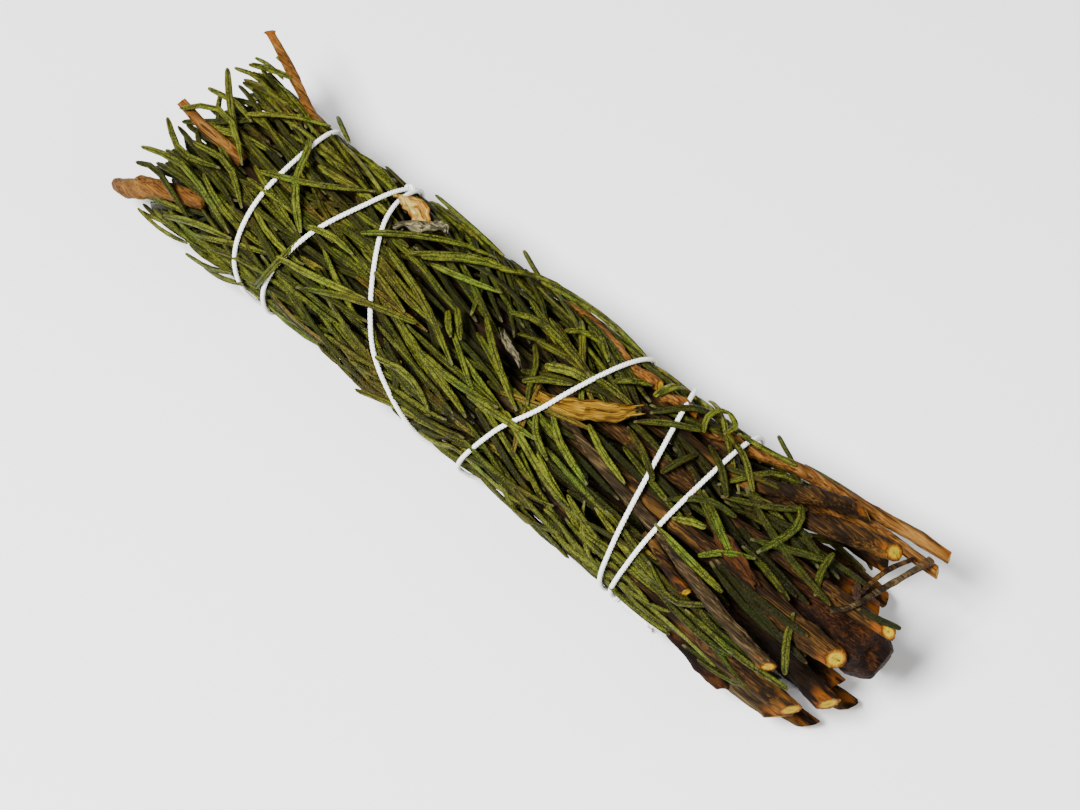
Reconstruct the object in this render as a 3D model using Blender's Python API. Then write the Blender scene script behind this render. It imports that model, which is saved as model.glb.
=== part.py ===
"""Rosemary bundle tied with cotton string, lying on its side.

Metres, +Z up, the table at z = 0.  The bundle runs along X: leafy tips at -X,
cut stem ends at +X.  Twenty-one sprigs (fourteen round the outside, seven
inside) lie side by side; each is a leafy length with its needles grown into
one slim stem, and a bare woody length that carries on to the cut end.  One
string is tied off near the tips, spirals along and comes back to a short tail.
"""
import math
import random

import bmesh
import bpy
import numpy as np
from mathutils import Vector

# ---------------------------------------------------------------- dimensions
TIP_X, CUT_X = -0.0975, 0.0975          # the two ends of the bundle
HALF_WIDTH, HALF_HEIGHT = 0.0207, 0.0189
ROUNDNESS = 2.2                         # section: 2 is an ellipse
AXIS_Z = 0.0176                         # axis height, so the underside lies flat
AXIS_Y = -0.0022                        # axis offset, for the twig that sticks out
TAPER = 0.78                            # girth gained per metre towards the cuts

OUTER_SPRIGS, INNER_SPRIGS = 14, 6
FIRST_SPRIG_DEG = 10.0
TWIST_DEG = 110.0                       # turn of the sprigs per metre of length
CELL_GAP = 0.00017                      # half the space kept between sprigs
JOINT_GAP = 0.0003                      # space between pieces that meet

NEEDLE_LENGTH = 0.0235
NEEDLE_HALF_WIDTH = 0.00088
NEEDLE_RISE, NEEDLE_SINK = 0.00058, 0.00048
NEEDLE_PITCH = 0.0176                   # spacing of the needles of one lane
NEEDLE_MIN = 0.012                      # a shorter needle is left out
LANES = 4                               # rows of needles on an outer sprig
NEEDLE_CLEAR = 0.0013                   # space from a needle's line to a loose twig
STICK_OUT_SHARE = 0.13                  # share of needles whose tips stand off

STEM_RADIUS, STEM_TIP_RADIUS = 0.0020, 0.0013   # inside the leafy length
CORE_STEPS = 7                          # rings along a leafy length
LEAFY_START = 0.0195                    # from the tips to the first stem wood
KNEE = 0.003                            # straight run either side of a joint
INNER_STEM_RADIUS = 0.0018
INNER_LEAFY = 0.020                     # leafy length shown by an inner sprig

STRING_RADIUS, STRING_ROUND = 0.0006, 1  # and how finely its section is rounded
STRING_STEP_DEG, STRING_STEP_MM = 14.0, 3.6
STRING_CLEAR = 0.0003
STRING_REACH = 0.0075                   # how far from the string leaves are held down
# where the string runs: total turn in degrees, position along the bundle in mm
WINDING = [(34, -38.7), (75, -40.5), (120, -45.2), (165, -48.8), (215, -50.4), (270, -54.2),
           (340, -60.0), (384, -61.5), (432, -59.3), (488, -58.8), (533, -57.2), (575, -53.6),
           (640, -48.0), (700, -42.0), (750, -38.5), (801, -34.5), (862, -21.0), (902, -9.2),
           (990, 8.0), (1060, 19.5), (1114, 24.2), (1186, 18.5), (1221, 12.2), (1266, 6.4),
           (1290, 7.5), (1350, 17.0), (1420, 29.5), (1478, 36.3), (1541, 42.4), (1590, 45.0),
           (1640, 44.6), (1710, 46.6), (1780, 50.5), (1850, 52.0), (1900, 51.6), (1950, 49.6),
           (1992, 47.3), (2004, 49.2), (2003, 53.0), (1999, 56.8)]
CROSS_TURN, CROSS_LIFT, CROSS_SPAN = 590.0, 0.00165, 26.0   # the strand that rides over

# outer sprigs, in order round the bundle: where the leaves stop and where the
# stem is cut (mm along X), and the stem radius there (mm)
LEAF_END = [58, 60, 56, 62, 54, 44, 50, 60, 54, 62, 57, 52, 60, 55]
CUT_END = [95.5, 88.5, 80.5, 91.0, 92.6, 83.5, 90.5, 88.0, 92.0, 95.0, 88.0, 89.5, 88.0, 85.0]
CUT_RADIUS = [1.7, 2.3, 1.9, 1.7, 2.5, 2.0, 2.4, 2.1, 2.0, 2.3, 2.1, 2.2, 1.9, 2.2]
# how much deeper than the surface a stem lies at its cut (mm), where it isn't at the surface
CUT_SINK = {0: -2.2, 1: 0.5, 3: 1.6}
# inner sprigs: angle, distance from the axis at the cuts, cut end and radius (mm)
INNER = [(50, 9.6, 86.0, 2.2), (109, 10.5, 97.3, 4.2), (170, 9.6, 96.5, 2.2),
         (230, 9.4, 92.0, 2.3), (290, 9.2, 95.0, 2.2), (350, 9.4, 90.0, 2.2)]
INNER_RING, INNER_START = 0.0060, 0.052
# loose woody bits: (x mm, angle, depth mm) along each, then the radius at each
TIP_TWIGS = [
    ("tip_twig_thick", [(-71.0, 149, 3.6), (-83.0, 162, 1.6), (-90.5, 181, 0.6), (-96.7, 198, 0.5)],
     [1.7, 2.1, 2.2, 1.5]),
    ("tip_twig_long", [(-63.8, 34, 1.7), (-71.0, 29, -0.4), (-79.0, 25, -3.9), (-89.6, 25, -8.5)],
     [1.3, 1.2, 1.25, 1.1]),
    ("tip_twig_short", [(-68.5, 104, 3.0), (-78.0, 102, 1.6), (-87.3, 99, 1.2)], [1.5, 1.4, 1.2]),
    ("tip_twig_back", [(-72.0, 300, 5.0), (-82.0, 304, 3.2), (-92.0, 306, 2.6)], [1.4, 1.5, 1.3])]
CUT_TWIG = ("side_twig", [(86.3, 107, -0.6), (88.4, 100, -0.2), (91.6, 74, 2.4), (95.7, 39, 0.6)],
            [0.8, 0.95, 0.95, 1.25])
CHIP = ("wood_chip", [(-34.6, 56, -0.3), (-32.0, 61, -0.9), (-29.6, 67, -0.7)], [1.6, 1.9, 1.5])
# torn bark: stations, then the half width at each (mm)
FLAKE = ([(20.4, 105, -0.9), (24.3, 98, -1.0), (28.5, 90, -1.0), (32.5, 82, -0.9)], [1.0, 2.5, 2.8, 1.6])
FLAKE_THICK = 0.0009


# ------------------------------------------------------------------- the form
def skin(x, turn):
    """Radius of the wrapped bundle at a place along it and an angle round it."""
    cos, sin = math.cos(turn), math.sin(turn)
    r = ((abs(cos) / HALF_WIDTH) ** ROUNDNESS + (abs(sin) / HALF_HEIGHT) ** ROUNDNESS)
    r = r ** (-1.0 / ROUNDNESS) * (1.0 + TAPER * x)
    return min(r, AXIS_Z / -sin) if sin < -0.05 else r


def spot(x, turn, depth=0.0):
    """Point at a depth under the wrapped surface."""
    r = skin(x, turn) - depth
    return Vector((x, AXIS_Y + r * math.cos(turn), AXIS_Z + r * math.sin(turn)))


def where(p):
    """Angle round the bundle and depth under its surface of a point."""
    dy, dz = p[1] - AXIS_Y, p[2] - AXIS_Z
    turn = math.atan2(dz, dy)
    return turn, skin(p[0], turn) - math.hypot(dy, dz)


def twist(x):
    """Turn of the sprigs round the bundle at x, in radians."""
    return math.radians(TWIST_DEG * x)


def string_depth(turn_deg):
    """Depth of the string's centre: it beds in a little, more where it meets the table."""
    under = max(0.0, -math.sin(math.radians(turn_deg)) - 0.45) / 0.55
    away = min(1.0, abs(turn_deg - CROSS_TURN) / CROSS_SPAN)
    lift = CROSS_LIFT * math.cos(0.5 * math.pi * away) ** 2
    return 0.0002 + 0.00045 * min(1.0, 1.6 * under) - lift


def string_line():
    """Points along the string's centre, read from a smooth curve through its route."""
    knots = np.array(WINDING, float)
    pts = []
    for i in range(len(knots) - 1):
        p0, p1 = knots[max(i - 1, 0)], knots[i]
        p2, p3 = knots[i + 1], knots[min(i + 2, len(knots) - 1)]
        run = math.hypot((p2[0] - p1[0]) / STRING_STEP_DEG, (p2[1] - p1[1]) / STRING_STEP_MM)
        steps = max(1, round(run))
        for k in range(steps):
            t = k / steps
            pts.append(0.5 * (2 * p1 + (p2 - p0) * t + (2 * p0 - 5 * p1 + 4 * p2 - p3) * t * t
                              + (3 * p1 - p0 - 3 * p2 + p3) * t ** 3))
    pts.append(knots[-1])
    return [spot(x / 1000.0, math.radians(a), string_depth(a)) for a, x in pts]


STRING = string_line()


def string_need(p, half):
    """Depth a leaf's crest must keep at p so that the string lies over it."""
    route = np.array([q[:] for q in STRING])
    a = route[:-1]
    ab = route[1:] - a
    t = np.clip(((np.array(p[:]) - a) * ab).sum(1) / (ab * ab).sum(1), 0.0, 1.0)
    near = a + ab * t[:, None]
    turn, _ = where(p)
    out = np.array([0.0, math.cos(turn), math.sin(turn)])
    rel = np.array(p[:]) - near
    side = rel - np.outer(rel @ out, out)
    gap = np.sqrt((side * side).sum(1))
    reach = (rel @ out > -0.009) & (gap < STRING_REACH)
    if not reach.any():
        return -1.0
    height = np.zeros(len(near))
    for i in np.nonzero(reach)[0]:
        _, height[i] = where(near[i])
    full = STRING_RADIUS + half + STRING_CLEAR
    ease = np.clip((gap - full) / 0.0060, 0.0, 1.0)
    need = (height + STRING_RADIUS + STRING_CLEAR) * (1 - ease) + ease * -0.0004
    return float(need[reach].max())


# ----------------------------------------------------------------- mesh tools
def add_object(name, data, material=None):
    """Put a mesh or a curve in the scene as one named object."""
    obj = bpy.data.objects.new(name, data)
    bpy.context.scene.collection.objects.link(obj)
    if material:
        data.materials.append(material)
    return obj


def new_object(name, bm, material=None):
    """Turn a finished bmesh into one named object."""
    mesh = bpy.data.meshes.new(name)
    bmesh.ops.recalc_face_normals(bm, faces=bm.faces)
    bm.to_mesh(mesh)
    bm.free()
    return add_object(name, mesh, material)


def loop_edges(bm, ring):
    """Edges that join the points of one ring."""
    return [bm.edges.get((a, b)) for a, b in zip(ring, ring[1:] + ring[:1])]


def loft(rings, tip=None):
    """Closed skin drawn ring by ring, ending in a point or a flat cap."""
    bm = bmesh.new()
    ring = bmesh.ops.create_circle(bm, cap_ends=True, segments=len(rings[0]), radius=1.0)["verts"]
    for k, places in enumerate(rings):
        if k:
            made = bmesh.ops.extrude_edge_only(bm, edges=loop_edges(bm, ring))["geom"]
            fresh = {g for g in made if isinstance(g, bmesh.types.BMVert)}
            ring = [next(e.other_vert(v) for e in v.link_edges if e.other_vert(v) in fresh) for v in ring]
        for vert, place in zip(ring, places):
            vert.co = place
    cap = bmesh.ops.contextual_create(bm, geom=loop_edges(bm, ring))["faces"]
    if tip is not None:
        bmesh.ops.poke(bm, faces=cap)["verts"][0].co = tip
    return bm


def frame_at(points, i, up):
    """Side and up directions square to a line of points at point i."""
    ahead = points[min(i + 1, len(points) - 1)] - points[max(i - 1, 0)]
    ahead.normalize()
    side = ahead.cross(up).normalized()
    return side, side.cross(ahead).normalized()


def rod(points, radii, sides, slant=0.0, rough=0.0, rng=None, phase=0.0):
    """Round-ish rod along a line of points; slant tips the last face over."""
    rings = []
    for i, (p, r) in enumerate(zip(points, radii)):
        side, up = frame_at(points, i, Vector((0.03, 0.1, 1.0)))
        ring = []
        for k in range(sides):
            a = phase + 2 * math.pi * k / sides
            rr = r * (1 + rough * (rng.random() - 0.5)) if rough else r
            q = p + side * (rr * math.cos(a)) + up * (rr * math.sin(a))
            if slant and i == len(points) - 1:
                q = q + (points[-1] - points[-2]).normalized() * (slant * rr * math.cos(a + 0.8))
            ring.append(Vector((max(TIP_X, min(CUT_X, q.x)), q.y, max(q.z, 0.0))))
        rings.append(ring)
    return loft(rings)


def biggest(bm):
    """Drop the small closed hollows a union can leave inside a body."""
    left, islands = set(bm.verts), []
    while left:
        stack, island = [left.pop()], []
        while stack:
            v = stack.pop()
            island.append(v)
            for e in v.link_edges:
                w = e.other_vert(v)
                if w in left:
                    left.discard(w)
                    stack.append(w)
        islands.append(island)
    islands.sort(key=len)
    for island in islands[:-1]:
        bmesh.ops.delete(bm, geom=island, context="VERTS")


def union(base, pieces):
    """Join loose pieces into base as one closed body."""
    coll = bpy.data.collections.new("pieces")
    for piece in pieces:
        coll.objects.link(piece)
        bpy.context.scene.collection.objects.unlink(piece)
    mod = base.modifiers.new("join", "BOOLEAN")
    mod.operation, mod.operand_type, mod.collection = "UNION", "COLLECTION", coll
    mod.solver = "EXACT"
    graph = bpy.context.evaluated_depsgraph_get()
    mesh = bpy.data.meshes.new_from_object(base.evaluated_get(graph))
    base.modifiers.clear()
    old = base.data
    materials = list(old.materials)
    bm = bmesh.new()
    bm.from_mesh(mesh)
    biggest(bm)
    bm.to_mesh(mesh)
    bm.free()
    base.data = mesh
    mesh.name = base.name
    mesh.materials.clear()
    for material in materials[:1]:
        mesh.materials.append(material)
    for poly in mesh.polygons:
        poly.material_index = 0
    bpy.data.meshes.remove(old)
    for piece in list(coll.objects):
        data = piece.data
        bpy.data.objects.remove(piece)
        bpy.data.meshes.remove(data)
    bpy.data.collections.remove(coll)
    return base


def material(name, colour, rough):
    mat = bpy.data.materials.new(name)
    mat.use_nodes = True
    shader = mat.node_tree.nodes["Principled BSDF"]
    shader.inputs["Base Color"].default_value = (*colour, 1.0)
    shader.inputs["Roughness"].default_value = rough
    mat.diffuse_color = (*colour, 1.0)
    return mat


# ------------------------------------------------------------------ the parts
def press(points, halves, keep):
    """Push a needle's points inwards until its crest clears the string."""
    for _ in range(14):
        worst = 0.0
        for i in range(len(points) - 1):
            for k in range(6):
                t = k / 5.0
                p = points[i].lerp(points[i + 1], t)
                turn, depth = where(p)
                half = halves[i] * (1 - t) + halves[i + 1] * t
                short = string_need(p, half) + NEEDLE_RISE + 0.00005 - depth
                if short > 0:
                    worst = max(worst, short)
                    inward = Vector((0.0, -math.cos(turn), -math.sin(turn)))
                    for j, w in ((i, 1 - t), (i + 1, t)):
                        if j >= keep:
                            points[j] = points[j] + inward * (short * w)
        if worst < 0.00002:
            break
    return points


def needle(points, width=1.0):
    """Three-sided needle leaf: a ridge outwards, its root first and its tip last."""
    halves = [NEEDLE_HALF_WIDTH * width * s for s in (0.8, 1.0)]
    points = press([Vector(p) for p in points], halves + [NEEDLE_HALF_WIDTH * 0.6], 1)
    flat = -1.0 if math.sin(where(points[1])[0]) < -0.80 else 1.0
    rise, sink = NEEDLE_RISE * flat, NEEDLE_SINK * flat
    rings = []
    for i in range(len(points) - 1):
        turn, _ = where(points[i])
        side, up = frame_at(points, i, Vector((0.0, math.cos(turn), math.sin(turn))))
        ring = [points[i] + side * halves[i] - up * sink, points[i] + up * rise,
                points[i] - side * halves[i] - up * sink]
        rings.append([Vector((q.x, q.y, max(q.z, 0.0))) for q in ring])
    tip = points[-1]
    return loft(rings, tip=Vector((tip.x, tip.y, max(tip.z, 0.0))))


def lane_turn(centre, x, lane, depth):
    """Angle of a lane (-1 to 1 across a sprig) at x, kept inside the sprig's own room."""
    r = skin(x, centre + twist(x)) - depth
    room = math.pi / OUTER_SPRIGS - (NEEDLE_HALF_WIDTH + CELL_GAP) / max(r, 0.004)
    return centre + twist(x) + lane * room


def near_any(points, lines, reach):
    """True when a needle would come within reach of one of the loose pieces."""
    for a, b in zip(points, points[1:]):
        for k in range(9):
            p = a.lerp(b, k / 8.0)
            for line, radius in lines:
                for c, d in zip(line, line[1:]):
                    cd = d - c
                    t = max(0.0, min(1.0, (p - c).dot(cd) / cd.length_squared))
                    if (c + cd * t - p).length < radius + reach:
                        return True
    return False


def stem_depth(x, turn):
    """Depth of an outer sprig's stem: well inside, then nearer the surface by the cuts."""
    t = max(0.0, min(1.0, (x + 0.005) / 0.055))
    share = 0.40 - 0.20 * t * t * (3.0 - 2.0 * t)
    return skin(x, turn) * share


def stem_line(centre, x_from, x_to, steps):
    """Line of the slim stem along an outer sprig."""
    line = []
    for k in range(steps + 1):
        x = x_from + (x_to - x_from) * k / steps
        turn = centre + twist(x)
        line.append(spot(x, turn, stem_depth(x, turn)))
    line[0] = Vector((x_from, line[1].y * 0.35 + line[0].y * 0.65, line[1].z * 0.35 + line[0].z * 0.65))
    return line


def outer_sprig(i, leaf, avoid):
    """Leafy length of an outer sprig: a slim stem with needles on every side."""
    rng = random.Random(700 + i)
    centre = math.radians(FIRST_SPRIG_DEG + 360.0 * i / OUTER_SPRIGS)
    start, stop = LEAF_END[i] / 1000.0, TIP_X + LEAFY_START + 0.003 * rng.random()
    line = stem_line(centre, start, stop, CORE_STEPS)
    line.insert(1, line[0] - Vector((KNEE, 0.0, 0.0)))
    shrink = (STEM_RADIUS - STEM_TIP_RADIUS) / CORE_STEPS
    radii = [STEM_RADIUS] + [STEM_RADIUS - shrink * k for k in range(CORE_STEPS + 1)]
    core = new_object("sprig_%02d_leaves" % (i + 1), rod(line, radii, 5, phase=0.3), leaf)
    pieces = []
    for lane in range(LANES):
        across = -0.78 + 1.56 * lane / (LANES - 1)
        x = start - 0.002 - NEEDLE_PITCH * ((lane * 0.5 + 0.29 * i) % 1.0)
        while x > stop + 0.0015:
            length = NEEDLE_LENGTH * (0.90 + 0.20 * rng.random())
            length = min(length, x - TIP_X - 0.0030 * rng.random())
            root_lane, tip_lane = min(1.0, across + 0.22), max(-1.0, across - 0.22)
            deep = stem_depth(x, centre + twist(x))
            tip_depth = 0.0007 + 0.0008 * rng.random()
            under = math.sin(centre + twist(x - 0.8 * length)) < -0.925
            if rng.random() < STICK_OUT_SHARE and math.sin(centre) > -0.3:
                tip_depth = -0.0004 - 0.0012 * rng.random()
            xs = [x, x - 0.68 * length, x - length]
            depths = [deep, max(tip_depth, 0.0007) + 0.0008 + 0.07 * deep, tip_depth]
            if under:
                depths[2] = -0.00005
                depths[1] = NEEDLE_SINK - 0.00012 if len(pieces) % 3 else depths[1]
            lanes = [root_lane * 0.5, (root_lane + tip_lane) * 0.5, tip_lane]
            pts = [spot(q, lane_turn(centre, q, ln, d), d) for q, ln, d in zip(xs, lanes, depths)]
            if length > NEEDLE_MIN and not near_any(pts, avoid, NEEDLE_CLEAR):
                pieces.append(new_object("needle", needle(pts)))
            x -= NEEDLE_PITCH * (0.97 + 0.06 * rng.random())
    return union(core, pieces)


def inner_sprig(name, turn, radius, leaf, start, avoid):
    """Inner sprig: a slim stem that only shows its needles at the leafy end."""
    rng = random.Random(int(900 + radius * 1e5 + math.degrees(turn)))
    stop = TIP_X + 0.016
    cos, sin = math.cos(turn), math.sin(turn)
    size = INNER_STEM_RADIUS

    def place(x, r, a):
        return Vector((x, AXIS_Y + r * math.cos(a), AXIS_Z + r * math.sin(a)))

    line = [Vector((start + (stop - start) * k / 5, AXIS_Y + radius * cos, AXIS_Z + radius * sin))
            for k in range(6)]
    core = new_object(name + "_leaves", rod(line, [size] * 5 + [size * 0.6], 6, rough=0.1, rng=rng,
                                            phase=0.37 + turn), leaf)
    room = math.pi / INNER_SPRIGS if radius > 0.004 else math.pi
    pieces = []
    count = 8 if radius > 0.004 else 5
    for k in range(count):
        x = stop + INNER_LEAFY - 0.9 * INNER_LEAFY * k / (count - 1) + 0.0006 * rng.random()
        length = min(NEEDLE_LENGTH, x - TIP_X - 0.004 * rng.random())
        if radius > 0.004:
            across = ((k * 0.382) % 1.0 - 0.5) * 2 * (room - 0.0011 / radius) * (0.72 + 0.1 * rng.random())
            reach = (0.0058, 0.0082, 0.0100)[k % 3]
            pts = [place(x, radius, turn),
                   place(x - 0.5 * length, (radius + reach) / 2, turn + across * 0.7),
                   place(x - length, reach, turn + across)]
        else:
            a = k * 2.4
            pts = [place(x, 0.0003, a), place(x - 0.5 * length, 0.0019, a), place(x - length, 0.0034, a)]
        if not near_any(pts, avoid, NEEDLE_CLEAR):
            pieces.append(new_object("needle", needle(pts)))
    return union(core, pieces)


def bare_stem(name, line, radii, sides, seed, bark, slant=0.5):
    """Woody length of a sprig from its last leaves to the slanted cut."""
    rng = random.Random(seed)
    return new_object(name, rod(line, radii, sides, slant=slant, rough=0.14, rng=rng), bark)


def outer_stem(i, bark):
    """Bare stem of an outer sprig: it lies at the surface and ends in the cut."""
    rng = random.Random(300 + i)
    centre = math.radians(FIRST_SPRIG_DEG + 360.0 * i / OUTER_SPRIGS)
    leaf_end = LEAF_END[i] / 1000.0
    stop, radius = CUT_END[i] / 1000.0, CUT_RADIUS[i] / 1000.0
    joint = stem_line(centre, leaf_end, TIP_X + LEAFY_START, CORE_STEPS)[0]
    line = [joint + Vector((JOINT_GAP, 0.0, 0.0)), joint + Vector((KNEE, 0.0, 0.0))]
    radii = [0.95 * STEM_RADIUS, STEM_RADIUS]
    for k in range(1, 6):
        t = k / 5.0
        x = leaf_end + KNEE + (stop - leaf_end - KNEE) * t
        turn = centre + twist(x) + math.radians(2.2) * math.sin(5.0 * t + i) * t
        sink = 0.0004 if math.sin(turn) > -0.9 else -0.0001
        high = radius + sink + CUT_SINK.get(i, 0.0) / 1000.0 * t
        rise = min(1.0, 1.7 * t)
        line.append(spot(x, turn, stem_depth(x, turn) * (1 - rise) + high * rise))
        radii.append(STEM_RADIUS + (radius - STEM_RADIUS) * min(1.0, 2.5 * t))
    return bare_stem("sprig_%02d_stem" % (i + 1), line, radii, 6, 40 + i, bark, 0.35 + 0.5 * rng.random())


def inner_stem(name, turn, radius, start, stop, size, bark, seed):
    """Bare stem of an inner sprig, nearly straight."""
    line, radii = [], []
    for k in range(5):
        t = k / 4.0
        lean = 0.0004 * t * math.sin(3.0 * t + seed)
        r = (radius - INNER_RING) * max(0.0, t - 0.08) / 0.92 + INNER_RING + lean if radius else lean
        line.append(Vector((start + JOINT_GAP + (stop - start - JOINT_GAP) * t,
                            AXIS_Y + r * math.cos(turn), AXIS_Z + r * math.sin(turn))))
        radii.append(INNER_STEM_RADIUS + (size - INNER_STEM_RADIUS) * t)
    line.insert(1, line[0] + Vector((KNEE, 0.0, 0.0)))
    radii.insert(1, INNER_STEM_RADIUS)
    return bare_stem(name, line, radii, 6, seed, bark, 0.5)


def bit_line(stations):
    """Points of a loose woody bit from its (x, angle, depth) stations."""
    return [spot(x / 1000.0, math.radians(a), d / 1000.0) for x, a, d in stations]


def twig(name, stations, radii, bark, sides=6, seed=5):
    """Short piece of bare twig with rounded-off ends."""
    rng = random.Random(seed)
    line = bit_line(stations)
    radii = [r / 1000.0 for r in radii]
    return new_object(name, rod(line, radii, sides, rough=0.12, rng=rng), bark)


def flake(bark):
    """Thin curl of torn bark lying on the leaves."""
    stations, halves = FLAKE
    line = bit_line(stations)
    rings = []
    for i, (p, half) in enumerate(zip(line, halves)):
        turn, _ = where(p)
        side, up = frame_at(line, i, Vector((0.0, math.cos(turn), math.sin(turn))))
        w, t = half / 1000.0, FLAKE_THICK / 2
        rings.append([p + side * w - up * t, p + side * w * 0.8 + up * t,
                      p - side * w * 0.7 + up * t * 1.3, p - side * w - up * t * 0.9])
    return new_object("torn_bark", loft(rings), bark)


def cord(cotton):
    """The string: one round cord along its whole run, from its knot to its tail."""
    curve = bpy.data.curves.new("string", "CURVE")
    curve.dimensions = "3D"
    curve.bevel_depth, curve.bevel_resolution = STRING_RADIUS, STRING_ROUND
    curve.use_fill_caps = True
    spline = curve.splines.new("POLY")
    spline.points.add(len(STRING) - 1)
    for point, place in zip(spline.points, STRING):
        point.co = (*place, 1.0)
    return add_object("string", curve, cotton)


def main():
    for obj in list(bpy.data.objects):
        bpy.data.objects.remove(obj)
    leaf = material("rosemary_leaf", (0.055, 0.075, 0.018), 0.6)
    bark = material("stem_bark", (0.085, 0.055, 0.025), 0.75)
    cotton = material("cotton_string", (0.78, 0.77, 0.70), 0.85)
    avoid = [(bit_line(stations), max(radii) / 1000.0) for _, stations, radii in TIP_TWIGS + [CHIP]]
    for i in range(OUTER_SPRIGS):
        outer_sprig(i, leaf, avoid)
        outer_stem(i, bark)
    for k, (deg, radius, stop, size) in enumerate(INNER):
        name = "inner_sprig_%d" % (k + 1)
        inner_sprig(name, math.radians(deg), INNER_RING, leaf, INNER_START, avoid)
        inner_stem(name + "_stem", math.radians(deg), radius / 1000.0, INNER_START, stop / 1000.0,
                   size / 1000.0, bark, 60 + k)
    inner_sprig("middle_sprig", 0.0, 0.0, leaf, INNER_START, avoid)
    inner_stem("middle_sprig_stem", 0.0, 0.0, INNER_START, 0.0955, 0.0023, bark, 77)
    for k, (name, stations, radii) in enumerate(TIP_TWIGS + [CUT_TWIG, CHIP]):
        twig(name, stations, radii, bark, seed=20 + k)
    flake(bark)
    cord(cotton)


main()
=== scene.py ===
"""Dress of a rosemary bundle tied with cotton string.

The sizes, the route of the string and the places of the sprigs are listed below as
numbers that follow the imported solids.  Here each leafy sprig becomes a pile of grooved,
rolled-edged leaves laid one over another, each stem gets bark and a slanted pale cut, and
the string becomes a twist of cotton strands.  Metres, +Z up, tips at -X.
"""
from __future__ import annotations

import logging
import math
import random
from dataclasses import dataclass, field
from enum import Enum

import bmesh
import bpy
import numpy as np
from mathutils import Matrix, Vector, noise

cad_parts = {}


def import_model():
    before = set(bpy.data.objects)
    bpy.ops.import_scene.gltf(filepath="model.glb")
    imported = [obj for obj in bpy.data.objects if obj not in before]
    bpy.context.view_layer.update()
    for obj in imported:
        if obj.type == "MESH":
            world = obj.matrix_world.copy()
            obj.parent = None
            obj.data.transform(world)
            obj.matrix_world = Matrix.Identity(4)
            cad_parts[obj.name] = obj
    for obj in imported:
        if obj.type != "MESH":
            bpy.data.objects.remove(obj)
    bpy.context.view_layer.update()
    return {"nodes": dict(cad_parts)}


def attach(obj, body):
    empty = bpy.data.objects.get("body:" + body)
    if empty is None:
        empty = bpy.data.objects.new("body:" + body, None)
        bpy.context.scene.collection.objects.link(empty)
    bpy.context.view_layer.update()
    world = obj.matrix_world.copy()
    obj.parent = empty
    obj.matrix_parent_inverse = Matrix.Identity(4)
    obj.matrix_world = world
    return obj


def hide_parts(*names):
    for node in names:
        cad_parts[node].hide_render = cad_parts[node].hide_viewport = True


LOG = logging.getLogger("rosemary_bundle")
MM = 0.001
TABLE_GAP = 0.0001

Array = np.ndarray
Triple = tuple[float, float, float]
Colour = Triple
Socket = bpy.types.NodeSocket
Material = bpy.types.Material
BMesh = bmesh.types.BMesh
Ring = list[bmesh.types.BMVert]
Rows = tuple[tuple[float, ...], ...]


# ---------------------------------------------------------- lines and objects


def unit(rows: Array) -> Array:
    """Directions brought to a length of one."""
    return rows / np.linalg.norm(rows, axis=-1, keepdims=True)


def run_length(line: Array) -> Array:
    """Distance run along a line at each of its points."""
    return np.concatenate([[0.0], np.cumsum(np.linalg.norm(np.diff(line, axis=0), axis=1))])


def resample(line: Array, want: Array) -> Array:
    """Points of a line at these distances along it."""
    far = run_length(line)
    return np.stack([np.interp(want, far, column) for column in line.T], axis=1)


def curve_through(knots: Array, before: Array, after: Array, steps: int) -> Array:
    """Smooth curve through a run of points.

    Args:
        knots: the points that it passes.
        before: a point ahead of the first, which sets how it starts.
        after: a point past the last, which sets how it stops.
        steps: how many points each span gets.

    Returns:
        The points of the curve.
    """
    ends = np.vstack([before, knots, after])
    rows = []
    for p0, p1, p2, p3 in zip(ends, ends[1:], ends[2:], ends[3:]):
        for t in np.arange(steps) / steps:
            rows.append(0.5 * (2 * p1 + (p2 - p0) * t + (2 * p0 - 5 * p1 + 4 * p2 - p3) * t * t
                               + (3 * p1 - p0 - 3 * p2 + p3) * t ** 3))
    return np.array(rows + [knots[-1]])


def smooth_line(points: Array, count: int) -> Array:
    """Even run of this many points along a smooth curve through a few."""
    dense = curve_through(points, 2 * points[0] - points[1], 2 * points[-1] - points[-2], 12)
    return resample(dense, np.linspace(0.0, run_length(dense)[-1], count))


def filled(line: Array) -> Array:
    """Line with many points in each of its spans."""
    return np.concatenate([np.linspace(a, b, 24, endpoint=False) for a, b in zip(line, line[1:])])


def stand(name: str, data: bpy.types.ID) -> bpy.types.Object:
    """Put an object that holds this data in the scene.

    Args:
        name: the object's name.
        data: its mesh, curve, light or camera.

    Returns:
        The object.
    """
    made = bpy.data.objects.new(name, data)
    bpy.context.scene.collection.objects.link(made)
    return made


def keep_mesh(bm: BMesh, name: str) -> bpy.types.Mesh:
    """Turn what was drawn into a mesh with smooth shading.

    Args:
        bm: the drawing, which is freed.
        name: the mesh's name.

    Returns:
        The mesh.
    """
    mesh = bpy.data.meshes.new(name)
    bm.to_mesh(mesh)
    bm.free()
    mesh.shade_smooth()
    return mesh


def paint(mesh: bpy.types.Mesh, name: str, *columns: Array) -> None:
    """Store four numbers for each point of a mesh, which a finish reads by this name."""
    layer = mesh.color_attributes.new(name, "FLOAT_COLOR", "POINT")
    layer.data.foreach_set("color", np.stack(columns, axis=1).astype(np.float32).ravel())


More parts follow.
